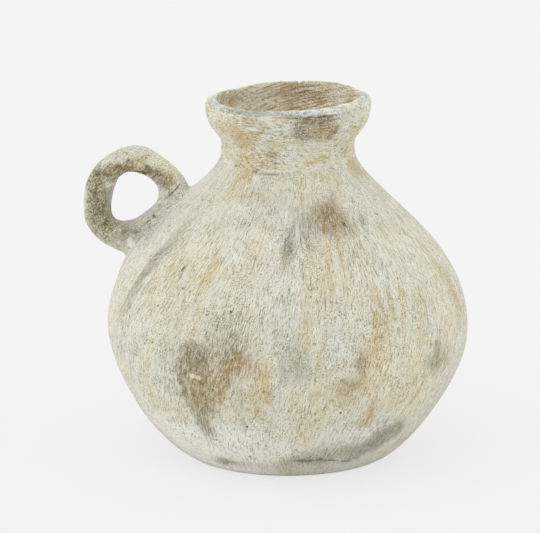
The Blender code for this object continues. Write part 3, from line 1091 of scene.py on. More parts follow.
# %% [markdown]
# Pores, flecks and scratches are too small to paint on points a millimetre apart, so each is a small oval in
# the material: a Mapping node of type Texture moves its middle to a turn and a height, turns it with the wall
# and scales it, and this group turns the distance from there into a mask with a frayed edge. Besides its
# place, size, paint and amount, a spot may say how it leans in degrees, how deep it reaches in millimetres,
# and how soft and how frayed its edge is.

# %% Small marks
MARK_DEPTH = 4.0


def make_mark_mask():
    takes = {"Local": (0.0, 0.0, 0.0), "Ragged": 0.0, "Fray": 0.5, "Soft": 0.5}
    group, given, result = open_group("small_mark", takes, {"Mask": "Float"})
    distance = add(group, "VectorMath", {0: given["Local"]}, operation="LENGTH").outputs["Value"]
    edge = plus(group, distance, times(group, given["Ragged"], given["Fray"]))
    low = minus(group, 1.0, given["Soft"])
    high = plus(group, 1.0, given["Soft"])
    group.links.new(between(group, edge, low, high, 1.0, 0.0), result["Mask"])
    return group


MARK_MASK = make_mark_mask()


def on_wall(turn, height, wide, tall, paint, amount, **more):
    """A spot on the wall: its turn in degrees, its height, half its width and half its height in mm."""
    return dict(turn=turn, height=height, wide=wide, tall=tall, paint=paint, amount=amount, **more)


def on_loop(at, wide, tall, paint, amount, **more):
    """A spot on the loop: its place, half its width and half its height in millimetres."""
    return dict(at=at, wide=wide, tall=tall, paint=paint, amount=amount, **more)


def spot_place(spot):
    """Where a stain or a mark sits, and how it is turned, in metres and radians."""
    lean = radians(spot.get("lean", 0.0))
    if "at" in spot:
        return Vector(spot["at"]) / 1000.0, (0.0, lean, 0.0)
    turn, height = radians(spot["turn"]), spot["height"] / 1000.0
    radius = LIP_RADIUS if height > LIP_HEIGHT else radius_at(height)
    return Vector((sin(turn) * radius, -cos(turn) * radius, height)), (0.0, lean, turn)


def lay_mark(tree, colour, place, ragged, mark):
    """The colour with one small mark laid over it."""
    middle, turned = spot_place(mark)
    size = Vector((mark["wide"], mark.get("deep", MARK_DEPTH), mark["tall"])) / 1000.0
    inputs = {"Vector": place, "Location": middle, "Rotation": turned, "Scale": size}
    local = add(tree, "Mapping", inputs, vector_type="TEXTURE").outputs[0]
    inputs = {"Local": local, "Ragged": ragged, "Fray": mark.get("fray", 0.5), "Soft": mark.get("soft", 0.4)}
    mask = times(tree, put(tree, MARK_MASK, inputs)["Mask"], mark["amount"])
    return laid_over(tree, mask, colour, screen(*mark["paint"]))


print("shared effects:", [group.name for group in (STROKE_RUN, GROUND, GRAIN, MARK_MASK)])

# %% [markdown]
# Stains are larger, so they are painted on the points of the mesh, as a decorator dabs thin washes on a pot.
# Each stain is an oval with a soft edge, on the wall's outer face or, if it says so, on its inner face. Soft
# noise shifts the ovals out of shape, but not those that say crisp, such as the painted shade in the crease
# under the lip. This noise needs a seed, or it would start from the clock and the stains would differ each
# time. Some ovals carry painted light: near-white washes that lift the shade low on the wall and at the foot,
# and painted highlight and shade at the neck's seam and in the lip's crease.
#
# The colour attribute keeps the mixed paint and, as its alpha, how thickly it lies. Beyond its edge a stain
# leaves a mere trace of its colour, so that a stain that the material frays doesn't fade to cream first. The
# material frays the edges with the brush strokes and wears the stains through in specks.

# %% Painted stains
STAIN_DEPTH = 24.0
PAINT_REACH = 2.5
FRAY = 3.4
SPECK_SIZE = 0.0026
SPECK_BAND = (0.20, 0.42)
SPECK_SHARE = 0.6
SPECK_RAGGED = 0.25
WORN_THROUGH = 0.34
UNPAINTED = 1e-6
NEARBY = 1e-4
WARPS = [(0.0140, 0.0032), (0.0050, 0.0014)]
WARP_SEED = 5
noise.seed_set(WARP_SEED)


def warped(places):
    """The places shifted by soft noise, so that no stain keeps its oval outline."""
    shifts = [
        sum((noise.noise_vector(Vector(place) / size) * shift for size, shift in WARPS), Vector())
        for place in places
    ]
    return places + np.array(shifts)


def soft_oval(places, stain):
    """How far each place lies inside a stain, 0.5 on its edge, and how near to it, on a wider slope."""
    middle, turned = spot_place(stain)
    turn_matrix = np.array(Euler(turned).to_matrix())
    size = np.array((stain["wide"], stain.get("deep", STAIN_DEPTH), stain["tall"])) / 1000.0
    distance = np.linalg.norm((places - np.array(middle)) @ turn_matrix / size, axis=1)
    soft = stain.get("soft", 0.5)
    share = np.clip((1.0 + soft - distance) / (2.0 * soft), 0.0, 1.0)
    return share * share * (3.0 - 2.0 * share), np.exp(-(distance / PAINT_REACH) ** 2)


def points_of(piece):
    """The places of a piece's points, as they are and softly shifted."""
    places = np.empty(3 * len(piece.data.vertices), dtype=np.float32)
    piece.data.vertices.foreach_get("co", places)
    places = places.reshape(-1, 3).astype(float)
    return places, warped(places)


def inner_points(piece):
    """True for the points on the inner face of the wall."""
    share = np.zeros(len(piece.data.vertices), dtype=np.float32)
    if "inside" in piece.data.attributes:
        piece.data.attributes["inside"].data.foreach_get("value", share)
    return share > 0.5


def paint_stains(piece, stains):
    """Write the stains into the colour attribute 'stains' of a piece."""
    mesh = piece.data
    places, shifted = points_of(piece)
    inner = inner_points(piece)
    paint = np.full((len(places), 4), UNPAINTED)
    paint[:, :3] *= np.array(CREAM[:3])
    thickness = np.zeros(len(places))
    for stain in stains:
        inside, nearby = soft_oval(places if stain.get("crisp") else shifted, stain)
        same_face = inner == stain.get("inner", False)
        amount = (inside * same_face * stain["amount"])[:, None]
        trace = (NEARBY * nearby * same_face)[:, None]
        colour = np.array(screen(*stain["paint"])[:3])
        paint[:, :3] = paint[:, :3] * (1.0 - amount) + colour * (amount + trace)
        paint[:, 3:] = paint[:, 3:] * (1.0 - amount) + amount + trace
        thickness = thickness * (1.0 - amount[:, 0]) + amount[:, 0]
    colours = np.column_stack([paint[:, :3] / paint[:, 3:], thickness]).astype(np.float32)
    layer = mesh.color_attributes.new("stains", "FLOAT_COLOR", "POINT")
    layer.data.foreach_set("color", colours.ravel())
    print(piece.name, "is stained over", round(100.0 * float((thickness > 0.25).mean())), "% of its points")


def paint_share(piece, name, spots):
    """Write how far each point lies in one of some soft ovals into an attribute, from 0 to 1."""
    places = points_of(piece)[1]
    share = np.zeros(len(places))
    for spot in spots:
        share = np.maximum(share, soft_oval(places, spot)[0] * spot["amount"])
    layer = piece.data.attributes.new(name, "FLOAT", "POINT")
    layer.data.foreach_set("value", share.astype(np.float32))
    print(piece.name, "is", name, "over", round(100.0 * float((share > 0.5).mean())), "% of its points")


def lay_stains(tree, colour, place, ragged):
    """The colour with the painted stains laid over it, frayed by the strokes and worn through in specks."""
    painted = add(tree, "Attribute", attribute_name="stains")
    thick = painted.outputs["Alpha"]
    swing = times(tree, times(tree, thick, minus(tree, 1.0, thick)), FRAY)
    frayed = minus(tree, thick, times(tree, ragged, swing))
    specks = times(tree, cloudy(tree, place, SPECK_SIZE, 3.0, shift=6.1), SPECK_SHARE)
    specks = plus(tree, specks, times(tree, ragged, SPECK_RAGGED))
    worn = between(tree, specks, *SPECK_BAND, 1.0 - WORN_THROUGH, 1.0)
    amount = times(tree, between(tree, frayed, 0.0, 1.0), worn)
    return laid_over(tree, amount, colour, painted.outputs["Color"])


# %% [markdown]
# ## Where the wall is stained
#
# The front follows the photograph: smoke and worn clay on the lower left, a brown fingerprint under the neck
# on the right, a scuffed arc at the foot. Each stain has its turn round the axis and its height, half its
# width and half its height, its paint and how much of it there is. They are painted in the order of the
# lists, so broad pale washes come first and thin ones that even things out come late. The first list also
# has the grey streak that a thumb drew down from the loop.

# %% Paints, broad washes and painted light
SMOKE = (156, 150, 132)
SMOKE_GREEN = (176, 176, 156)
SOFT_GREY = (184, 183, 168)
BROWN = (160, 141, 104)
DARK_BROWN = (128, 114, 84)
OCHRE = (184, 163, 113)
LIGHT_OCHRE = (204, 188, 143)
MAUVE = (154, 138, 118)
WHITE = (230, 230, 220)
CREAM_FLECK = (236, 228, 206)
BLACK = (66, 60, 46)

BROAD_WASHES_AND_PAINTED_LIGHT = [
    # Partly painted light: a near-white wash low on the front, lifting the shade near the floor.
    on_wall(-14, 23, 62, 17, (241, 241, 236), 0.7, deep=60, soft=0.6),
    on_wall(6, 122, 25, 42, (220, 219, 211), 0.55, soft=0.9),
    on_wall(-57, 125, 5.4, 25, (164, 160, 137), 0.95, deep=34, lean=13, soft=0.75),
    on_wall(-51.5, 120, 1.3, 20, SMOKE, 0.45, deep=30, lean=13, soft=0.7),
    on_wall(-62, 104, 1.4, 16, SMOKE, 0.4, deep=30, lean=10, soft=0.7),
    # Partly painted light: this and the next near-white wash lift the shade low on the wall.
    on_wall(-26, 26, 20, 10, (240, 240, 234), 0.55, soft=0.8),
    on_wall(-39, 22, 18, 15, (248, 247, 242), 0.85, soft=0.8),
    on_wall(-55, 36, 11, 15, (238, 237, 227), 0.7, deep=30, soft=0.8),
    on_wall(52, 168, 14, 12, (228, 226, 214), 0.5, soft=0.9),
    on_wall(-8, 136, 13, 15, (224, 222, 213), 0.5, soft=0.9),
    on_wall(-22, 163, 14, 11, (228, 227, 216), 0.5, soft=0.9),
    on_wall(55, 52, 12, 12, (238, 230, 198), 0.5, soft=0.9),
    on_wall(26, 36, 18, 9, (226, 225, 214), 0.6, lean=20, soft=0.9),
]

# %% [markdown]
# The largest stain is on the lower left. Smoke lies above it, brown clay shows where the wash is gone, and
# pale drips run through it.

# %% Stains on the lower left
LOWER_LEFT = [
    on_wall(-15, 96, 17, 13, SMOKE_GREEN, 0.6, soft=0.9),
    on_wall(-24, 84, 9, 8, (144, 134, 116), 0.9, soft=0.7),
    on_wall(-24, 66, 13.5, 19, (150, 133, 85), 0.92, lean=-4, soft=0.6),
    on_wall(-24.5, 54, 9, 11, (160, 143, 98), 0.75, lean=-14, soft=0.7),
    on_wall(-30, 64, 1.8, 12, (136, 126, 98), 0.8, lean=-6, soft=0.6),
    on_wall(-27.5, 60, 1.4, 9, (208, 198, 168), 0.7, soft=0.6),
    on_wall(-12, 85, 10, 10, BROWN, 0.75, soft=0.8),
    on_wall(-15, 70, 6, 13, (172, 146, 90), 0.85, lean=24, soft=0.6),
    on_wall(-10, 82, 5.5, 6, (166, 138, 80), 0.9, lean=20, soft=0.6),
    on_wall(-4.5, 81, 5, 7, (184, 154, 116), 0.6, soft=0.8),
    on_wall(-10.5, 60, 3, 12, (206, 207, 196), 0.8, lean=-4, soft=0.6),
    on_wall(-25.5, 37, 5, 8.5, (138, 135, 115), 0.85, lean=-16, soft=0.8),
    on_wall(-5, 58, 12, 14, LIGHT_OCHRE, 0.45, soft=0.9),
    on_wall(0.5, 62, 3, 6, OCHRE, 0.5, soft=0.8),
]

# %% [markdown]
# The middle of the belly is quiet: one soft grey place, and washes of ochre and of white.

# %% Washes in the middle
MIDDLE_WASHES = [
    on_wall(8, 83, 10, 10, (178, 179, 163), 0.75, soft=0.9),
    on_wall(10, 38, 13, 10, LIGHT_OCHRE, 0.2, soft=0.9),
    on_wall(44, 61, 23, 18, (230, 215, 170), 0.4, deep=34, soft=0.9),
    on_wall(68, 96, 20, 42, (236, 232, 216), 0.5, deep=44, soft=0.9),
    on_wall(47, 130, 12, 16, (228, 226, 214), 0.45, soft=0.9),
    on_wall(22, 94, 9, 18, (219, 219, 212), 0.65, soft=0.9),
]

# %% [markdown]
# The foot was set down on wet slabs many times. Its edge is painted near white, partly as painted light that
# lifts the shade near the floor, with a thin brown line at the table, and a scuffed arc of grey and brown
# rises from the middle to the right.

# %% Stains and painted light at the foot
FOOT_STAINS_AND_PAINTED_LIGHT = [
    # Painted light: a near-white band round the foot lifts the shade near the floor.
    on_wall(-4, 5, 52, 7, (254, 253, 246), 0.95, deep=34, soft=0.6),
    on_wall(0, 0.6, 34, 1.2, (162, 142, 104), 0.6, deep=22, soft=0.5, crisp=True),
    on_wall(-24, 11, 8, 3, (138, 130, 100), 0.9, deep=14, soft=0.7),
    on_wall(-12, 8.5, 13, 2.2, (178, 173, 152), 0.5, deep=16, soft=0.7),
    on_wall(5, 9, 9, 6, (172, 169, 132), 0.75, soft=0.8),
    on_wall(13, 16, 12, 6, (166, 162, 134), 0.8, soft=0.8),
    on_wall(24, 19, 13, 6, (172, 171, 153), 0.75, soft=0.8),
    on_wall(20, 7, 14, 5, (182, 182, 158), 0.6, soft=0.8),
    on_wall(34, 12, 12, 5, (196, 199, 188), 0.6, soft=0.8),
    on_wall(35, 34, 10, 7.5, (232, 232, 224), 0.9, lean=44, soft=0.8),
    on_wall(43, 38, 9, 5, (212, 214, 208), 0.8, lean=30, soft=0.8),
    on_wall(35, 19.5, 9, 5.5, (160, 156, 137), 0.85, lean=20, soft=0.6),
    on_wall(41, 22, 8, 6.5, (152, 145, 125), 0.88, lean=20, soft=0.6),
    on_wall(47, 26.5, 8, 7.5, (148, 140, 121), 0.95, lean=20, soft=0.5),
    on_wall(52, 30.5, 7.5, 8, (152, 145, 125), 0.95, lean=20, soft=0.6),
    on_wall(45, 20, 6, 4, (140, 125, 102), 0.75, soft=0.8),
]

# %% [markdown]
# Ochre clay shows through in upright streaks on the right, with one worn brown place near the edge.

# %% Stains on the right
RIGHT_FLANK = [
    on_wall(35, 48, 5.5, 10, (194, 167, 104), 0.75, lean=14, soft=0.7),
    on_wall(26, 67, 8.5, 7, (180, 160, 104), 0.8, soft=0.8),
    on_wall(22.5, 59, 7, 5, (190, 170, 120), 0.6, soft=0.9),
    on_wall(16, 61, 5, 4, (196, 176, 128), 0.5, soft=0.9),
    on_wall(29, 81, 4, 9, (168, 146, 102), 0.75, lean=8, soft=0.7),
    on_wall(35.5, 92, 5.5, 18, (206, 188, 138), 0.65, lean=8, soft=0.8),
    on_wall(43.5, 116, 1.5, 9, (188, 162, 104), 0.65, lean=-4, soft=0.7),
    on_wall(38.4, 113, 2.2, 9, (198, 178, 132), 0.6, soft=0.7),
    on_wall(61, 74, 6, 10, (160, 147, 102), 0.9, lean=-4, soft=0.7),
    on_wall(56.5, 72, 5, 8, (176, 172, 144), 0.6, soft=0.8),
    on_wall(66.5, 71, 5, 9, (184, 174, 142), 0.65, soft=0.8),
    on_wall(53.2, 52, 1.3, 7, (156, 154, 136), 0.65, lean=14, soft=0.7),
    on_wall(79, 112, 7, 21, (202, 178, 122), 0.7, deep=30, lean=-6, soft=0.7),
]

# %% [markdown]
# Under the neck a brown fingerprint sits in a grey smear that trails down to the left.

# %% Stains under the neck
UNDER_NECK = [
    on_wall(16, 154, 6.5, 10, (172, 172, 160), 0.75, soft=0.9),
    on_wall(30.5, 159.5, 9.5, 10.5, (154, 132, 88), 0.95, soft=0.7),
    on_wall(41, 156, 5, 5, (174, 162, 130), 0.7, lean=-25, soft=0.9),
    on_wall(50.5, 156, 3.5, 2.6, SMOKE, 0.75, lean=15, soft=0.6),
    on_wall(6.5, 147, 3, 11, (146, 144, 129), 0.95, lean=6, soft=0.8),
    on_wall(-2, 165, 16, 12, (206, 204, 193), 0.5, soft=0.9),
    on_wall(-35, 173, 6, 6, (210, 194, 150), 0.45, soft=0.9),
    on_wall(-20, 170, 8, 1.6, (200, 178, 124), 0.75, soft=0.7),
    on_wall(49.1, 116.8, 2, 1.6, (206, 174, 136), 0.8),
]

# %% [markdown]
# A potter evens a finish out with a nearly dry brush. These thin washes do the same over the stains.

# %% Thin washes
THIN_WASHES = [
    on_wall(6, 98, 8, 15, (206, 206, 197), 0.55, soft=0.9),
    on_wall(7, 42, 9, 8, (230, 227, 210), 0.45, soft=0.9),
    on_wall(19, 55, 8, 8, (230, 226, 205), 0.4, soft=0.9),
    on_wall(44, 78, 20, 17, (242, 236, 206), 0.3, deep=34, soft=0.9),
    on_wall(33, 70, 9, 9, (224, 206, 154), 0.4, soft=0.9),
    on_wall(73, 84, 7, 14, (226, 208, 156), 0.5, soft=0.9),
    on_wall(-35, 110, 10, 15, (202, 192, 162), 0.4, soft=0.9),
    on_wall(-58, 153, 12, 9, (206, 200, 180), 0.4, soft=0.9),
    on_wall(36, 140, 9, 9, (210, 208, 198), 0.4, soft=0.9),
    on_wall(60, 154, 9, 8, (218, 216, 205), 0.4, soft=0.9),
]

# %% [markdown]
# The photograph doesn't show the back, so it has the same kinds of stains in other places.

# %% Stains on the back
BACK_STAINS = [
    on_wall(125, 92, 16, 11, SMOKE, 0.75, soft=0.8),
    on_wall(118, 70, 8, 15, BROWN, 0.75, lean=6, soft=0.7),
    on_wall(141, 58, 14, 17, LIGHT_OCHRE, 0.6, soft=0.8),
    on_wall(163, 122, 4.5, 24, SMOKE_GREEN, 0.7, lean=9, soft=0.8),
    on_wall(176, 30, 30, 6, SMOKE, 0.7, deep=30, lean=-7, soft=0.8),
    on_wall(-172, 90, 3.6, 24, OCHRE, 0.65, lean=-4, soft=0.8),
    on_wall(-150, 106, 10, 9, SMOKE, 0.75, soft=0.8),
    on_wall(-156, 86, 8, 17, BROWN, 0.85, lean=-8, soft=0.7),
    on_wall(-147, 74, 5, 12, OCHRE, 0.7, lean=14, soft=0.7),
    on_wall(-138, 66, 17, 12, SOFT_GREY, 0.7, soft=0.8),
    on_wall(-120, 34, 9, 18, MAUVE, 0.6, lean=48, soft=0.7),
    on_wall(-95, 78, 12, 16, LIGHT_OCHRE, 0.5, soft=0.8),
    on_wall(148, 160, 10, 5, BROWN, 0.7, lean=10, soft=0.7),
    on_wall(-128, 150, 8, 7, SMOKE, 0.6, soft=0.7),
    on_wall(92, 30, 15, 8, SMOKE_GREEN, 0.6, soft=0.7),
    on_wall(152, 10, 22, 2, DARK_BROWN, 0.8, deep=16, soft=0.7),
    on_wall(-100, 12, 20, 2, DARK_BROWN, 0.7, deep=16, soft=0.7),
]
WALL_STAINS = BROAD_WASHES_AND_PAINTED_LIGHT + LOWER_LEFT + MIDDLE_WASHES + FOOT_STAINS_AND_PAINTED_LIGHT + RIGHT_FLANK + UNDER_NECK
WALL_STAINS += THIN_WASHES + BACK_STAINS
print("stains on the wall:", len(WALL_STAINS))

# %% [markdown]
# Beside the loop the wall wears the luting clay's colours. The small marks are scratches, cream flecks where
# the wash flaked, black spots of painted shade in the pits where a grain burnt out of the clay, and the
# gouges that the smearing tool left.

# %% Luting stains and small marks
LUTING_STAINS = [
    on_loop((-72, -6, 158), 18, 15, (206, 204, 193), 0.85, deep=22, lean=45, soft=0.8),
    on_loop((-57, -4, 172), 13, 12, (234, 233, 225), 0.95, deep=20, lean=-45, soft=0.9),
    on_loop((-86, -8, 142), 8, 14, (190, 189, 176), 0.8, deep=18, lean=45, soft=0.8),
]
SCRATCHES = [
    on_wall(-37.9, 130.2, 1.1, 2.0, (142, 133, 108), 0.85, lean=30, soft=0.6),
    on_wall(-5.0, 48.5, 0.35, 9.5, BROWN, 0.9, lean=30, soft=0.6, fray=0.2),
    on_wall(10, 40, 0.3, 12, BROWN, 0.4, lean=8, soft=0.6, fray=0.3),
    on_wall(-38.5, 112, 0.4, 6, BROWN, 0.6, lean=14, soft=0.6, fray=0.3),
]
FLECKS = [(-25.2, 71.8, 2.0), (-23.0, 71.2, 1.9), (-33.2, 53.5, 1.1), (-28.9, 49.5, 0.9), (47.8, 122.5, 1.3)]
# Painted shade: black spots that stand in for the shade inside small pits.
PIT_SHADES = [
    (-42.6, 108.4, 0.7), (-56.1, 97.5, 0.7), (-50.6, 86.5, 0.8), (-63.1, 75.3, 0.7),
    (-13.1, 111.9, 0.8), (-8.4, 40.6, 0.9), (-22.3, 28.2, 0.8), (-33.5, 29.0, 0.6), (-10.2, 17.5, 0.9),
    (37.9, 72.3, 0.7), (24.0, 50.2, 0.8), (50.0, 125.3, 0.6), (63.4, 156.7, 0.7), (36.9, 155.7, 1.2),
    (-30.5, 119.8, 0.6), (-34.0, 120.5, 0.7), (128.0, 110.0, 0.9), (150.0, 76.0, 0.8), (-165.0, 120.0, 1.1),
    (-140.0, 48.0, 0.8), (-110.0, 90.0, 0.7), (98.0, 84.0, 0.8), (112.0, 135.0, 0.7),
]
GOUGE_MARKS = [(13.5, 14.8, 4.6, 1.4), (19.5, 15.2, 3.2, 1.2), (25.5, 13.4, 4.8, 1.5), (33.5, 11.6, 4.2, 1.1)]
GOUGE_PAINT = (112, 91, 58)
WALL_MARKS = SCRATCHES + [
    on_wall(turn, height, wide, tall, GOUGE_PAINT, 0.8, lean=6, fray=1.3, soft=0.7)
    for turn, height, wide, tall in GOUGE_MARKS
]
WALL_MARKS += [on_wall(turn, height, size, 0.8 * size, CREAM_FLECK, 0.95) for turn, height, size in FLECKS]
WALL_MARKS += [on_wall(turn, height, 0.8 * size, size, BLACK, 0.8, lean=15, fray=0.3)
               for turn, height, size in PIT_SHADES]
print("small marks on the wall:", len(WALL_MARKS))

# %% [markdown]
# ## The finishes
#
# Every finish is built the same way: the limewash ground, the stains that reach this member, its small
# marks, the fine grain, and a bump made of the same strokes and grain. Matte clay has no gloss: its roughness
# is near one, and only its raised grain is a little smoother. A little sheen stands for the lime dust, which
# is why the edges of the real vase look pale.

# %% Finish recipe
BUMP_DEPTH = 0.00035
ROUGH_BAND = (0.2, 1.2, 0.97, 0.84)
CLAY_DIFFUSE_ROUGHNESS = 1.0
CLAY_SPECULAR = 0.2
DUST_SHEEN = 0.18
DUST_ROUGHNESS = 0.5


def start_material(name):
    """A material, its tree and the place on the piece."""
    material = bpy.data.materials.new(name)
    material.use_nodes = True
    tree = material.node_tree
    return material, tree, add(tree, "TexCoord").outputs["Object"]


def close_material(tree, colour, height):
    """Join colour, roughness and bump to the shader."""
    shader = tree.nodes["Principled BSDF"]
    tree.links.new(colour, shader.inputs["Base Color"])
    tree.links.new(between(tree, height, *ROUGH_BAND), shader.inputs["Roughness"])
    bump = add(tree, "Bump", {"Height": height, "Strength": 1.0, "Distance": BUMP_DEPTH})
    tree.links.new(bump.outputs["Normal"], shader.inputs["Normal"])
    shader.inputs["Diffuse Roughness"].default_value = CLAY_DIFFUSE_ROUGHNESS
    shader.inputs["Specular IOR Level"].default_value = CLAY_SPECULAR
    shader.inputs["Sheen Weight"].default_value = DUST_SHEEN
    shader.inputs["Sheen Roughness"].default_value = DUST_ROUGHNESS


def limewash(name, marks, lean=-2.2, along=None, stroke=(0.0013, 0.011), sweep=(0.008, 0.060),
             hairs=(0.0008, 0.0038), skips=(0.0009, 0.0022), chalk=0.6, ochre=0.8, grey=0.55, lines=0.5,
             dark=0.92, light=0.8, dashes=0.6, inside=None, bare=None):
    """The worn limewash of one member. Strokes are (width, length) in metres; along is their slant where they
    don't follow the wall. The shares say how much of each paint there is, from 0 to 1."""
    material, tree, place = start_material(name)
    runs = []
    for width, length in (stroke, sweep, hairs, skips):
        if along is None:
            values = {"Place": place, "Lean": lean, "Width": width, "Length": length}
            runs.append(put(tree, STROKE_RUN, values)["Run"])
        else:
            inputs = {"Vector": place, "Rotation": (0.0, along, 0.0), "Scale": (width, width, length)}
            runs.append(add(tree, "Mapping", inputs, vector_type="TEXTURE").outputs[0])
    values = {"Place": place, "Strokes": runs[0], "Sweeps": runs[1], "Chalk": chalk, "Ochre": ochre,
              "Grey": grey, "Lines": lines}
    ground = put(tree, GROUND, values)
    colour = ground["Colour"]
    if inside:
        share = add(tree, "Attribute", attribute_name="inside").outputs["Fac"]
        colour = laid_over(tree, share, colour, inside(tree, place))
    if bare:
        colour = bare(tree, place, colour)
    colour = lay_stains(tree, colour, place, ground["Ragged"])
    for mark in marks:
        colour = lay_mark(tree, colour, place, ground["Ragged"], mark)
    values = {"Colour": colour, "Place": place, "Hairs": runs[2], "Skips": runs[3], "Dark": dark,
              "Light": light, "Dashes": dashes}
    grain = put(tree, GRAIN, values)
    height = plus(tree, ground["Height"], grain["Height"])
    close_material(tree, grain["Colour"], height)
    return material


# %% [markdown]
# Limewash doesn't reach far into a narrow neck, so the inside is bare tan clay. The attribute that the turned
# sections carry says where it starts.

# %% Bare inside, belly and foot
HAND_LEAN = 85.0
HAND_STROKE = (0.010, 0.0045)
TAN = screen(212, 199, 165)
TAN_PALE = screen(240, 236, 218)
TAN_DEEP = screen(168, 146, 100)
TAN_PATCH = 0.010
TAN_PALE_BAND = (0.48, 0.60)
TAN_DEEP_BAND = (0.50, 0.38)
FOOT_TOP = 12.0
NECK_FOOT = 184.0


def marks_between(low, high):
    """The small marks on the wall in a band of heights, in millimetres."""
    return [mark for mark in WALL_MARKS if low < mark["height"] < high]


def tan_inside(tree, place):
    """The bare inside of the wall: tan clay with slanting strokes of a wet hand."""
    values = {"Place": place, "Lean": HAND_LEAN, "Width": HAND_STROKE[0], "Length": HAND_STROKE[1]}
    swipes = cloudy(tree, put(tree, STROKE_RUN, values)["Run"], 1.0, 2.0)
    patches = cloudy(tree, place, TAN_PATCH, 3.0, shift=1.7)
    level = weighed(tree, swipes, 0.8, patches)
    colour = laid_over(tree, between(tree, level, *TAN_PALE_BAND), TAN, TAN_PALE)
    return laid_over(tree, between(tree, level, *TAN_DEEP_BAND), colour, TAN_DEEP)


body_finish = limewash("worn_limewash", marks_between(FOOT_TOP, NECK_FOOT), inside=tan_inside)
# Partly painted light: more chalk and fewer dark grains lighten the foot against the shade near the floor.
foot_finish = limewash("scuffed_foot_and_painted_light", marks_between(0.0, FOOT_TOP), chalk=0.8, grey=0.3, dark=0.5, light=1.0)
paint_stains(base, WALL_STAINS)
belly.data.materials.append(body_finish)
base.data.materials.append(foot_finish)
print("finishes for the belly and the foot:", body_finish.name, "and", foot_finish.name)

# %% [markdown]
# ## The neck and the lip
#
# The neck was wiped round, not up, so its strokes lie level, and ochre stays in the hollow. The lip is rubbed
# to a cold grey, with a thick white ridge at the front on the right. The neck's stains are painted on the
# belly and on the lip too, so that those on a seam go on across it. Along the neck's seam a white line over a
# dark one is painted highlight and painted shade, and a dark line in the crease under the lip is painted
# shade.

# %% Neck and lip stains, painted highlight and painted shade
NECK_STAINS_AND_PAINTED_LIGHT = [
    on_wall(-2.7, 212.5, 12, 4.5, (217, 217, 209), 0.9, soft=0.7),
    on_wall(27, 212.5, 13.5, 7.5, (162, 143, 95), 0.92, lean=12, soft=0.6),
    on_wall(29, 217, 11, 2.4, (146, 124, 100), 0.8, soft=0.7),
    on_wall(15, 209.5, 6.5, 5.5, (150, 143, 115), 0.9, lean=30, soft=0.7),
    on_wall(29, 206, 9, 2.2, (166, 155, 120), 0.55, soft=0.8),
    on_wall(34, 208, 1.8, 4, (200, 184, 124), 0.6, lean=25, soft=0.8),
    on_wall(40.5, 208, 2.4, 3.4, (158, 122, 90), 0.75, lean=20, soft=0.8),
    on_wall(-30, 203, 7.5, 6, (200, 174, 108), 0.8, lean=-20, soft=0.8),
    on_wall(-17, 208, 11, 2, (196, 170, 112), 0.85, lean=4, soft=0.7),
    on_wall(-31, 190, 8, 12, (218, 203, 154), 0.4, soft=0.9),
    on_wall(-40, 206, 8, 7, (206, 184, 138), 0.45, soft=0.9),
    on_wall(-24, 214, 12, 2.5, (198, 188, 160), 0.7, soft=0.8),
    on_wall(-16, 187, 12, 4, (204, 185, 134), 0.65, soft=0.8),
    on_wall(-6.5, 194.5, 4, 2.8, (172, 156, 120), 0.8, soft=0.7),
    on_wall(-48, 210, 9, 6, (210, 194, 150), 0.7, soft=0.8),
    # Painted highlight and painted shade: a white line over dark marks along the neck's seam, as a lit ledge.
    on_wall(-9.5, 184.6, 5.5, 1.2, WHITE, 0.95, soft=0.6, crisp=True),
    on_wall(-11, 182.8, 7, 0.8, (140, 124, 90), 0.9, soft=0.6, crisp=True),
    on_wall(-21, 183, 2, 1.5, (144, 126, 86), 0.9, soft=0.6),
    on_wall(5, 202, 16, 1.6, LIGHT_OCHRE, 0.7, soft=0.8),
    on_wall(74, 182, 7, 7, (210, 190, 142), 0.7, soft=0.8),
    on_wall(178, 210, 12, 12, (168, 150, 108), 0.45, soft=0.9, inner=True),
    on_wall(-142, 213, 17, 12, (234, 229, 212), 0.75, soft=0.9, inner=True),
    on_wall(138, 217, 12, 7, (240, 237, 224), 0.85, soft=0.8, inner=True),
    on_wall(120, 212, 8, 8, (206, 186, 142), 0.7, soft=0.8, inner=True),
    on_wall(-118, 213, 7, 7, (206, 186, 142), 0.7, soft=0.8, inner=True),
    on_wall(150, 204, 12, 5, OCHRE, 0.7, soft=0.8),
    on_wall(-150, 196, 14, 4, SMOKE, 0.7, soft=0.8),
    on_wall(112, 209, 9, 4, MAUVE, 0.7, soft=0.8),
    on_wall(-105, 205, 10, 5, LIGHT_OCHRE, 0.8, soft=0.8),
]
LIP_STAINS = [
    on_wall(-18, 220, 27, 6, (163, 162, 150), 0.9, deep=14, soft=0.5),
    on_wall(0, 219.6, 12, 1.6, (204, 207, 203), 0.6, deep=14, soft=0.8),
    on_wall(-62, 220, 20, 6, (196, 199, 190), 0.85, deep=12),
    on_wall(28, 220, 17, 6, (228, 232, 234), 0.95, deep=10, soft=0.35),
    on_wall(92, 220, 16, 6, (198, 201, 193), 0.9, deep=14),
    on_wall(150, 219, 18, 5, (196, 186, 154), 0.8, deep=12),
    on_wall(-160, 219, 20, 5, (188, 178, 146), 0.8, deep=12),
    on_wall(-115, 219, 12, 5, (176, 172, 152), 0.8, deep=12),
]
CREASE_SHADE = [
    # Painted shade: a dark line in the crease under the lip.
    on_wall(24, 218.9, 21, 0.8, (100, 92, 82), 0.9, deep=10, soft=0.6, crisp=True),
]
LEVEL = dict(lean=0.0, stroke=(0.012, 0.0013), sweep=(0.040, 0.005), hairs=(0.008, 0.0009),
             skips=(0.0026, 0.0010))

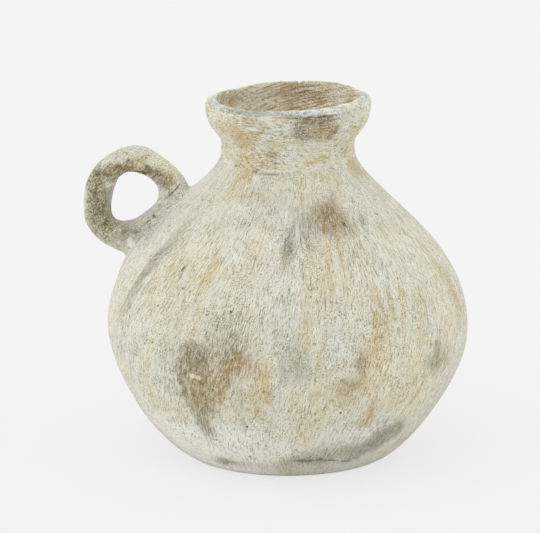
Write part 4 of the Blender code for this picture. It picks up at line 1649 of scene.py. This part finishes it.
neck_finish = limewash("wiped_neck", [], **LEVEL, chalk=0.6, ochre=0.9, lines=0.55, inside=tan_inside)
lip_finish = limewash("rubbed_lip", [], **LEVEL, chalk=0.7, ochre=0.2, grey=0.8, inside=tan_inside)
paint_stains(belly, WALL_STAINS + LUTING_STAINS + NECK_STAINS_AND_PAINTED_LIGHT)
paint_stains(neck, WALL_STAINS + NECK_STAINS_AND_PAINTED_LIGHT + CREASE_SHADE)
paint_stains(lip, NECK_STAINS_AND_PAINTED_LIGHT + LIP_STAINS + CREASE_SHADE)
neck.data.materials.append(neck_finish)
lip.data.materials.append(lip_finish)
print("finishes for the neck and the lip:", neck_finish.name, "and", lip_finish.name)

# %% [markdown]
# ## The loop
#
# Fingers and string have worn the limewash off the loop where it is held: round the hole's top and down the
# outer side shows mottled bare clay, olive and brown. The rest is the wall's own limewash, smeared on in the
# same direction as on the wall, so that the luting clay and the wall read as one skin. A painted attribute
# says where the clay is bare.

# %% Loop finish
BARE_DARK = screen(107, 95, 60)
BARE_MIDDLE = screen(157, 149, 109)
BARE_LIGHT = screen(198, 189, 154)
MOTTLE_SIZE = 0.0015
BARE_DARK_BAND = (0.52, 0.38)
BARE_LIGHT_BAND = (0.50, 0.64)
BARE_EDGE_BAND = (0.1, 0.9, 0.0, 0.9)
BARE_RAGGED = 1.6
STROKE_SLANT = radians(45.0)
BARE_PLACES = [
    dict(at=(-114, -8, 157), wide=8, tall=21, deep=20, lean=-8, amount=1.0, soft=0.6),
    dict(at=(-102, -8, 175), wide=13, tall=5, deep=20, lean=-22, amount=0.9, soft=0.7),
    dict(at=(-86, -8, 175), wide=9, tall=3, deep=20, lean=10, amount=0.9, soft=0.6),
    dict(at=(-77, -8, 169.5), wide=9, tall=3.8, deep=20, lean=30, amount=0.95, soft=0.6),
    dict(at=(-112, -8, 141), wide=9, tall=9, deep=20, amount=0.75, soft=0.8),
    dict(at=(-97, -8, 136.5), wide=13, tall=5, deep=20, lean=30, amount=0.6, soft=0.8),
    dict(at=(-106, -8, 182), wide=9, tall=4, deep=20, lean=-20, amount=0.25, soft=0.8),
    dict(at=(-112, 9, 150), wide=10, tall=16, deep=12, amount=0.8, soft=0.8),
]
LOOP_STAINS = [
    on_loop((-83, -8, 186.5), 17, 6.5, (222, 222, 207), 0.9, deep=16, lean=14, soft=0.7),
    on_loop((-104, -8, 187), 10, 5, (196, 196, 176), 0.85, deep=16, lean=-25, soft=0.7),
    on_loop((-72, -6, 158), 15, 14, (203, 201, 190), 0.85, deep=20, lean=45, soft=0.7),
    on_loop((-62, -4, 172), 8, 10, (234, 233, 224), 0.9, deep=20, lean=-45, soft=0.7),
    on_loop((-86, -8, 142), 8, 14, (189, 187, 172), 0.85, deep=18, lean=45, soft=0.7),
    on_loop((-98, -8, 135), 9, 10, (158, 153, 135), 0.6, deep=18, lean=45, soft=0.8),
    on_loop((-103, -8, 175.5), 11, 3, (136, 121, 74), 0.75, deep=16, lean=-24, soft=0.7),
    on_loop((-86, -8, 174), 9, 1.6, (122, 108, 70), 0.75, deep=16, lean=12, soft=0.7),
    on_loop((-75.5, -8, 169.5), 8, 3, (150, 130, 80), 0.6, deep=16, lean=28, soft=0.8),
    on_loop((-107.3, -4, 156), 2.4, 12, (196, 192, 176), 0.8, deep=14, soft=0.7),
    on_loop((-89, -10, 180.5), 5, 3.4, (206, 188, 138), 0.85, deep=12, lean=-20, soft=0.8),
    on_loop((-115, -8, 155), 5, 15, (126, 117, 90), 0.5, deep=16, lean=-6, soft=0.8),
    on_loop((-72, -8, 178.5), 13, 4.8, (236, 232, 211), 0.95, deep=14, lean=40, soft=0.7),
    on_loop((-70, -9, 169.8), 4.2, 2.4, (174, 146, 84), 0.85, deep=10, lean=40, soft=0.7),
    on_loop((-60, -4, 163), 8, 7, (224, 222, 210), 0.9, deep=14, lean=45, soft=0.8),
    on_loop((-119, -4, 150), 4, 10, (142, 135, 107), 0.6, deep=16, soft=0.8),
    on_loop((-94.4, -9, 129.5), 3.4, 2.6, (240, 240, 236), 1.0, deep=8, lean=45, soft=0.6),
]
LOOP_MARKS = [
    on_loop((-66.8, -9, 165), 0.7, 2.2, (106, 98, 78), 0.8, deep=7, lean=42, fray=1.4),
    on_loop((-69.6, -9, 162), 0.7, 2.4, (106, 98, 78), 0.8, deep=7, lean=48, fray=1.4),
    on_loop((-66.5, -9, 155.2), 0.5, 3.6, (104, 94, 72), 0.8, deep=7, lean=58, fray=1.0),
    on_loop((-62.9, -9, 159), 0.5, 2.0, (116, 106, 84), 0.8, deep=7, lean=-8, fray=1.0),
    on_loop((-80.2, -9, 147.9), 1.5, 1.2, (98, 88, 68), 0.85, deep=7, lean=40),
    on_loop((-85.6, -9, 143.5), 0.8, 4.2, (112, 106, 86), 0.75, deep=7, lean=48, fray=1.3),
    on_loop((-90.5, -9, 138), 0.7, 3.6, (112, 106, 86), 0.75, deep=7, lean=46, fray=1.3),
    on_loop((-65.5, -6, 174.6), 0.7, 2.2, (88, 74, 50), 0.9, deep=8, lean=-55),
    on_loop((-88.5, -9, 174.8), 4.6, 0.7, (66, 56, 38), 0.85, deep=7, lean=12, fray=1.4),
]


def bare_clay(tree, place, colour):
    """Mottled bare clay where the attribute 'bare' says so, with a ragged edge."""
    mottle = cloudy(tree, place, MOTTLE_SIZE, 4.0, shift=0.7)
    patches = cloudy(tree, place, 3.0 * MOTTLE_SIZE, 2.0, shift=4.9)
    level = weighed(tree, mottle, 0.7, patches)
    clay = laid_over(tree, between(tree, level, *BARE_DARK_BAND), BARE_MIDDLE, BARE_DARK)
    clay = laid_over(tree, between(tree, level, *BARE_LIGHT_BAND), clay, BARE_LIGHT)
    share = add(tree, "Attribute", attribute_name="bare").outputs["Fac"]
    edge = plus(tree, share, times(tree, minus(tree, NOISE_MEAN, level), BARE_RAGGED))
    return laid_over(tree, between(tree, edge, *BARE_EDGE_BAND), colour, clay)


loop_finish = limewash("worn_loop", LOOP_MARKS, along=STROKE_SLANT, ochre=0.35, grey=0.6, bare=bare_clay)
for piece in (handle, upper_pad, lower_pad):
    paint_stains(piece, LOOP_STAINS)
    paint_share(piece, "bare", BARE_PLACES)
    piece.data.materials.append(loop_finish)
print("finish for the loop:", loop_finish.name)

# %% [markdown]
# ## Dressing the frame
#
# Each piece takes the place of its own member in the frame and moves with the one rigid body. The table
# also lists the slot its finish belongs to.

# %% Dress the frame
PIECES = [
    (base, "base_dish", "foot_clay"),
    (belly, "belly_wall", "body_limewash"),
    (neck, "neck_collar", "neck_limewash"),
    (lip, "lip_coil", "lip_limewash"),
    (handle, "loop_handle", "handle_clay"),
    (upper_pad, "upper_root_luting", "luting_clay"),
    (lower_pad, "lower_root_luting", "luting_clay"),
]
for piece, node, slot in PIECES:
    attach(piece, "root")
    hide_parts(node)
    print(piece.name, "replaces", node, "in slot", slot)
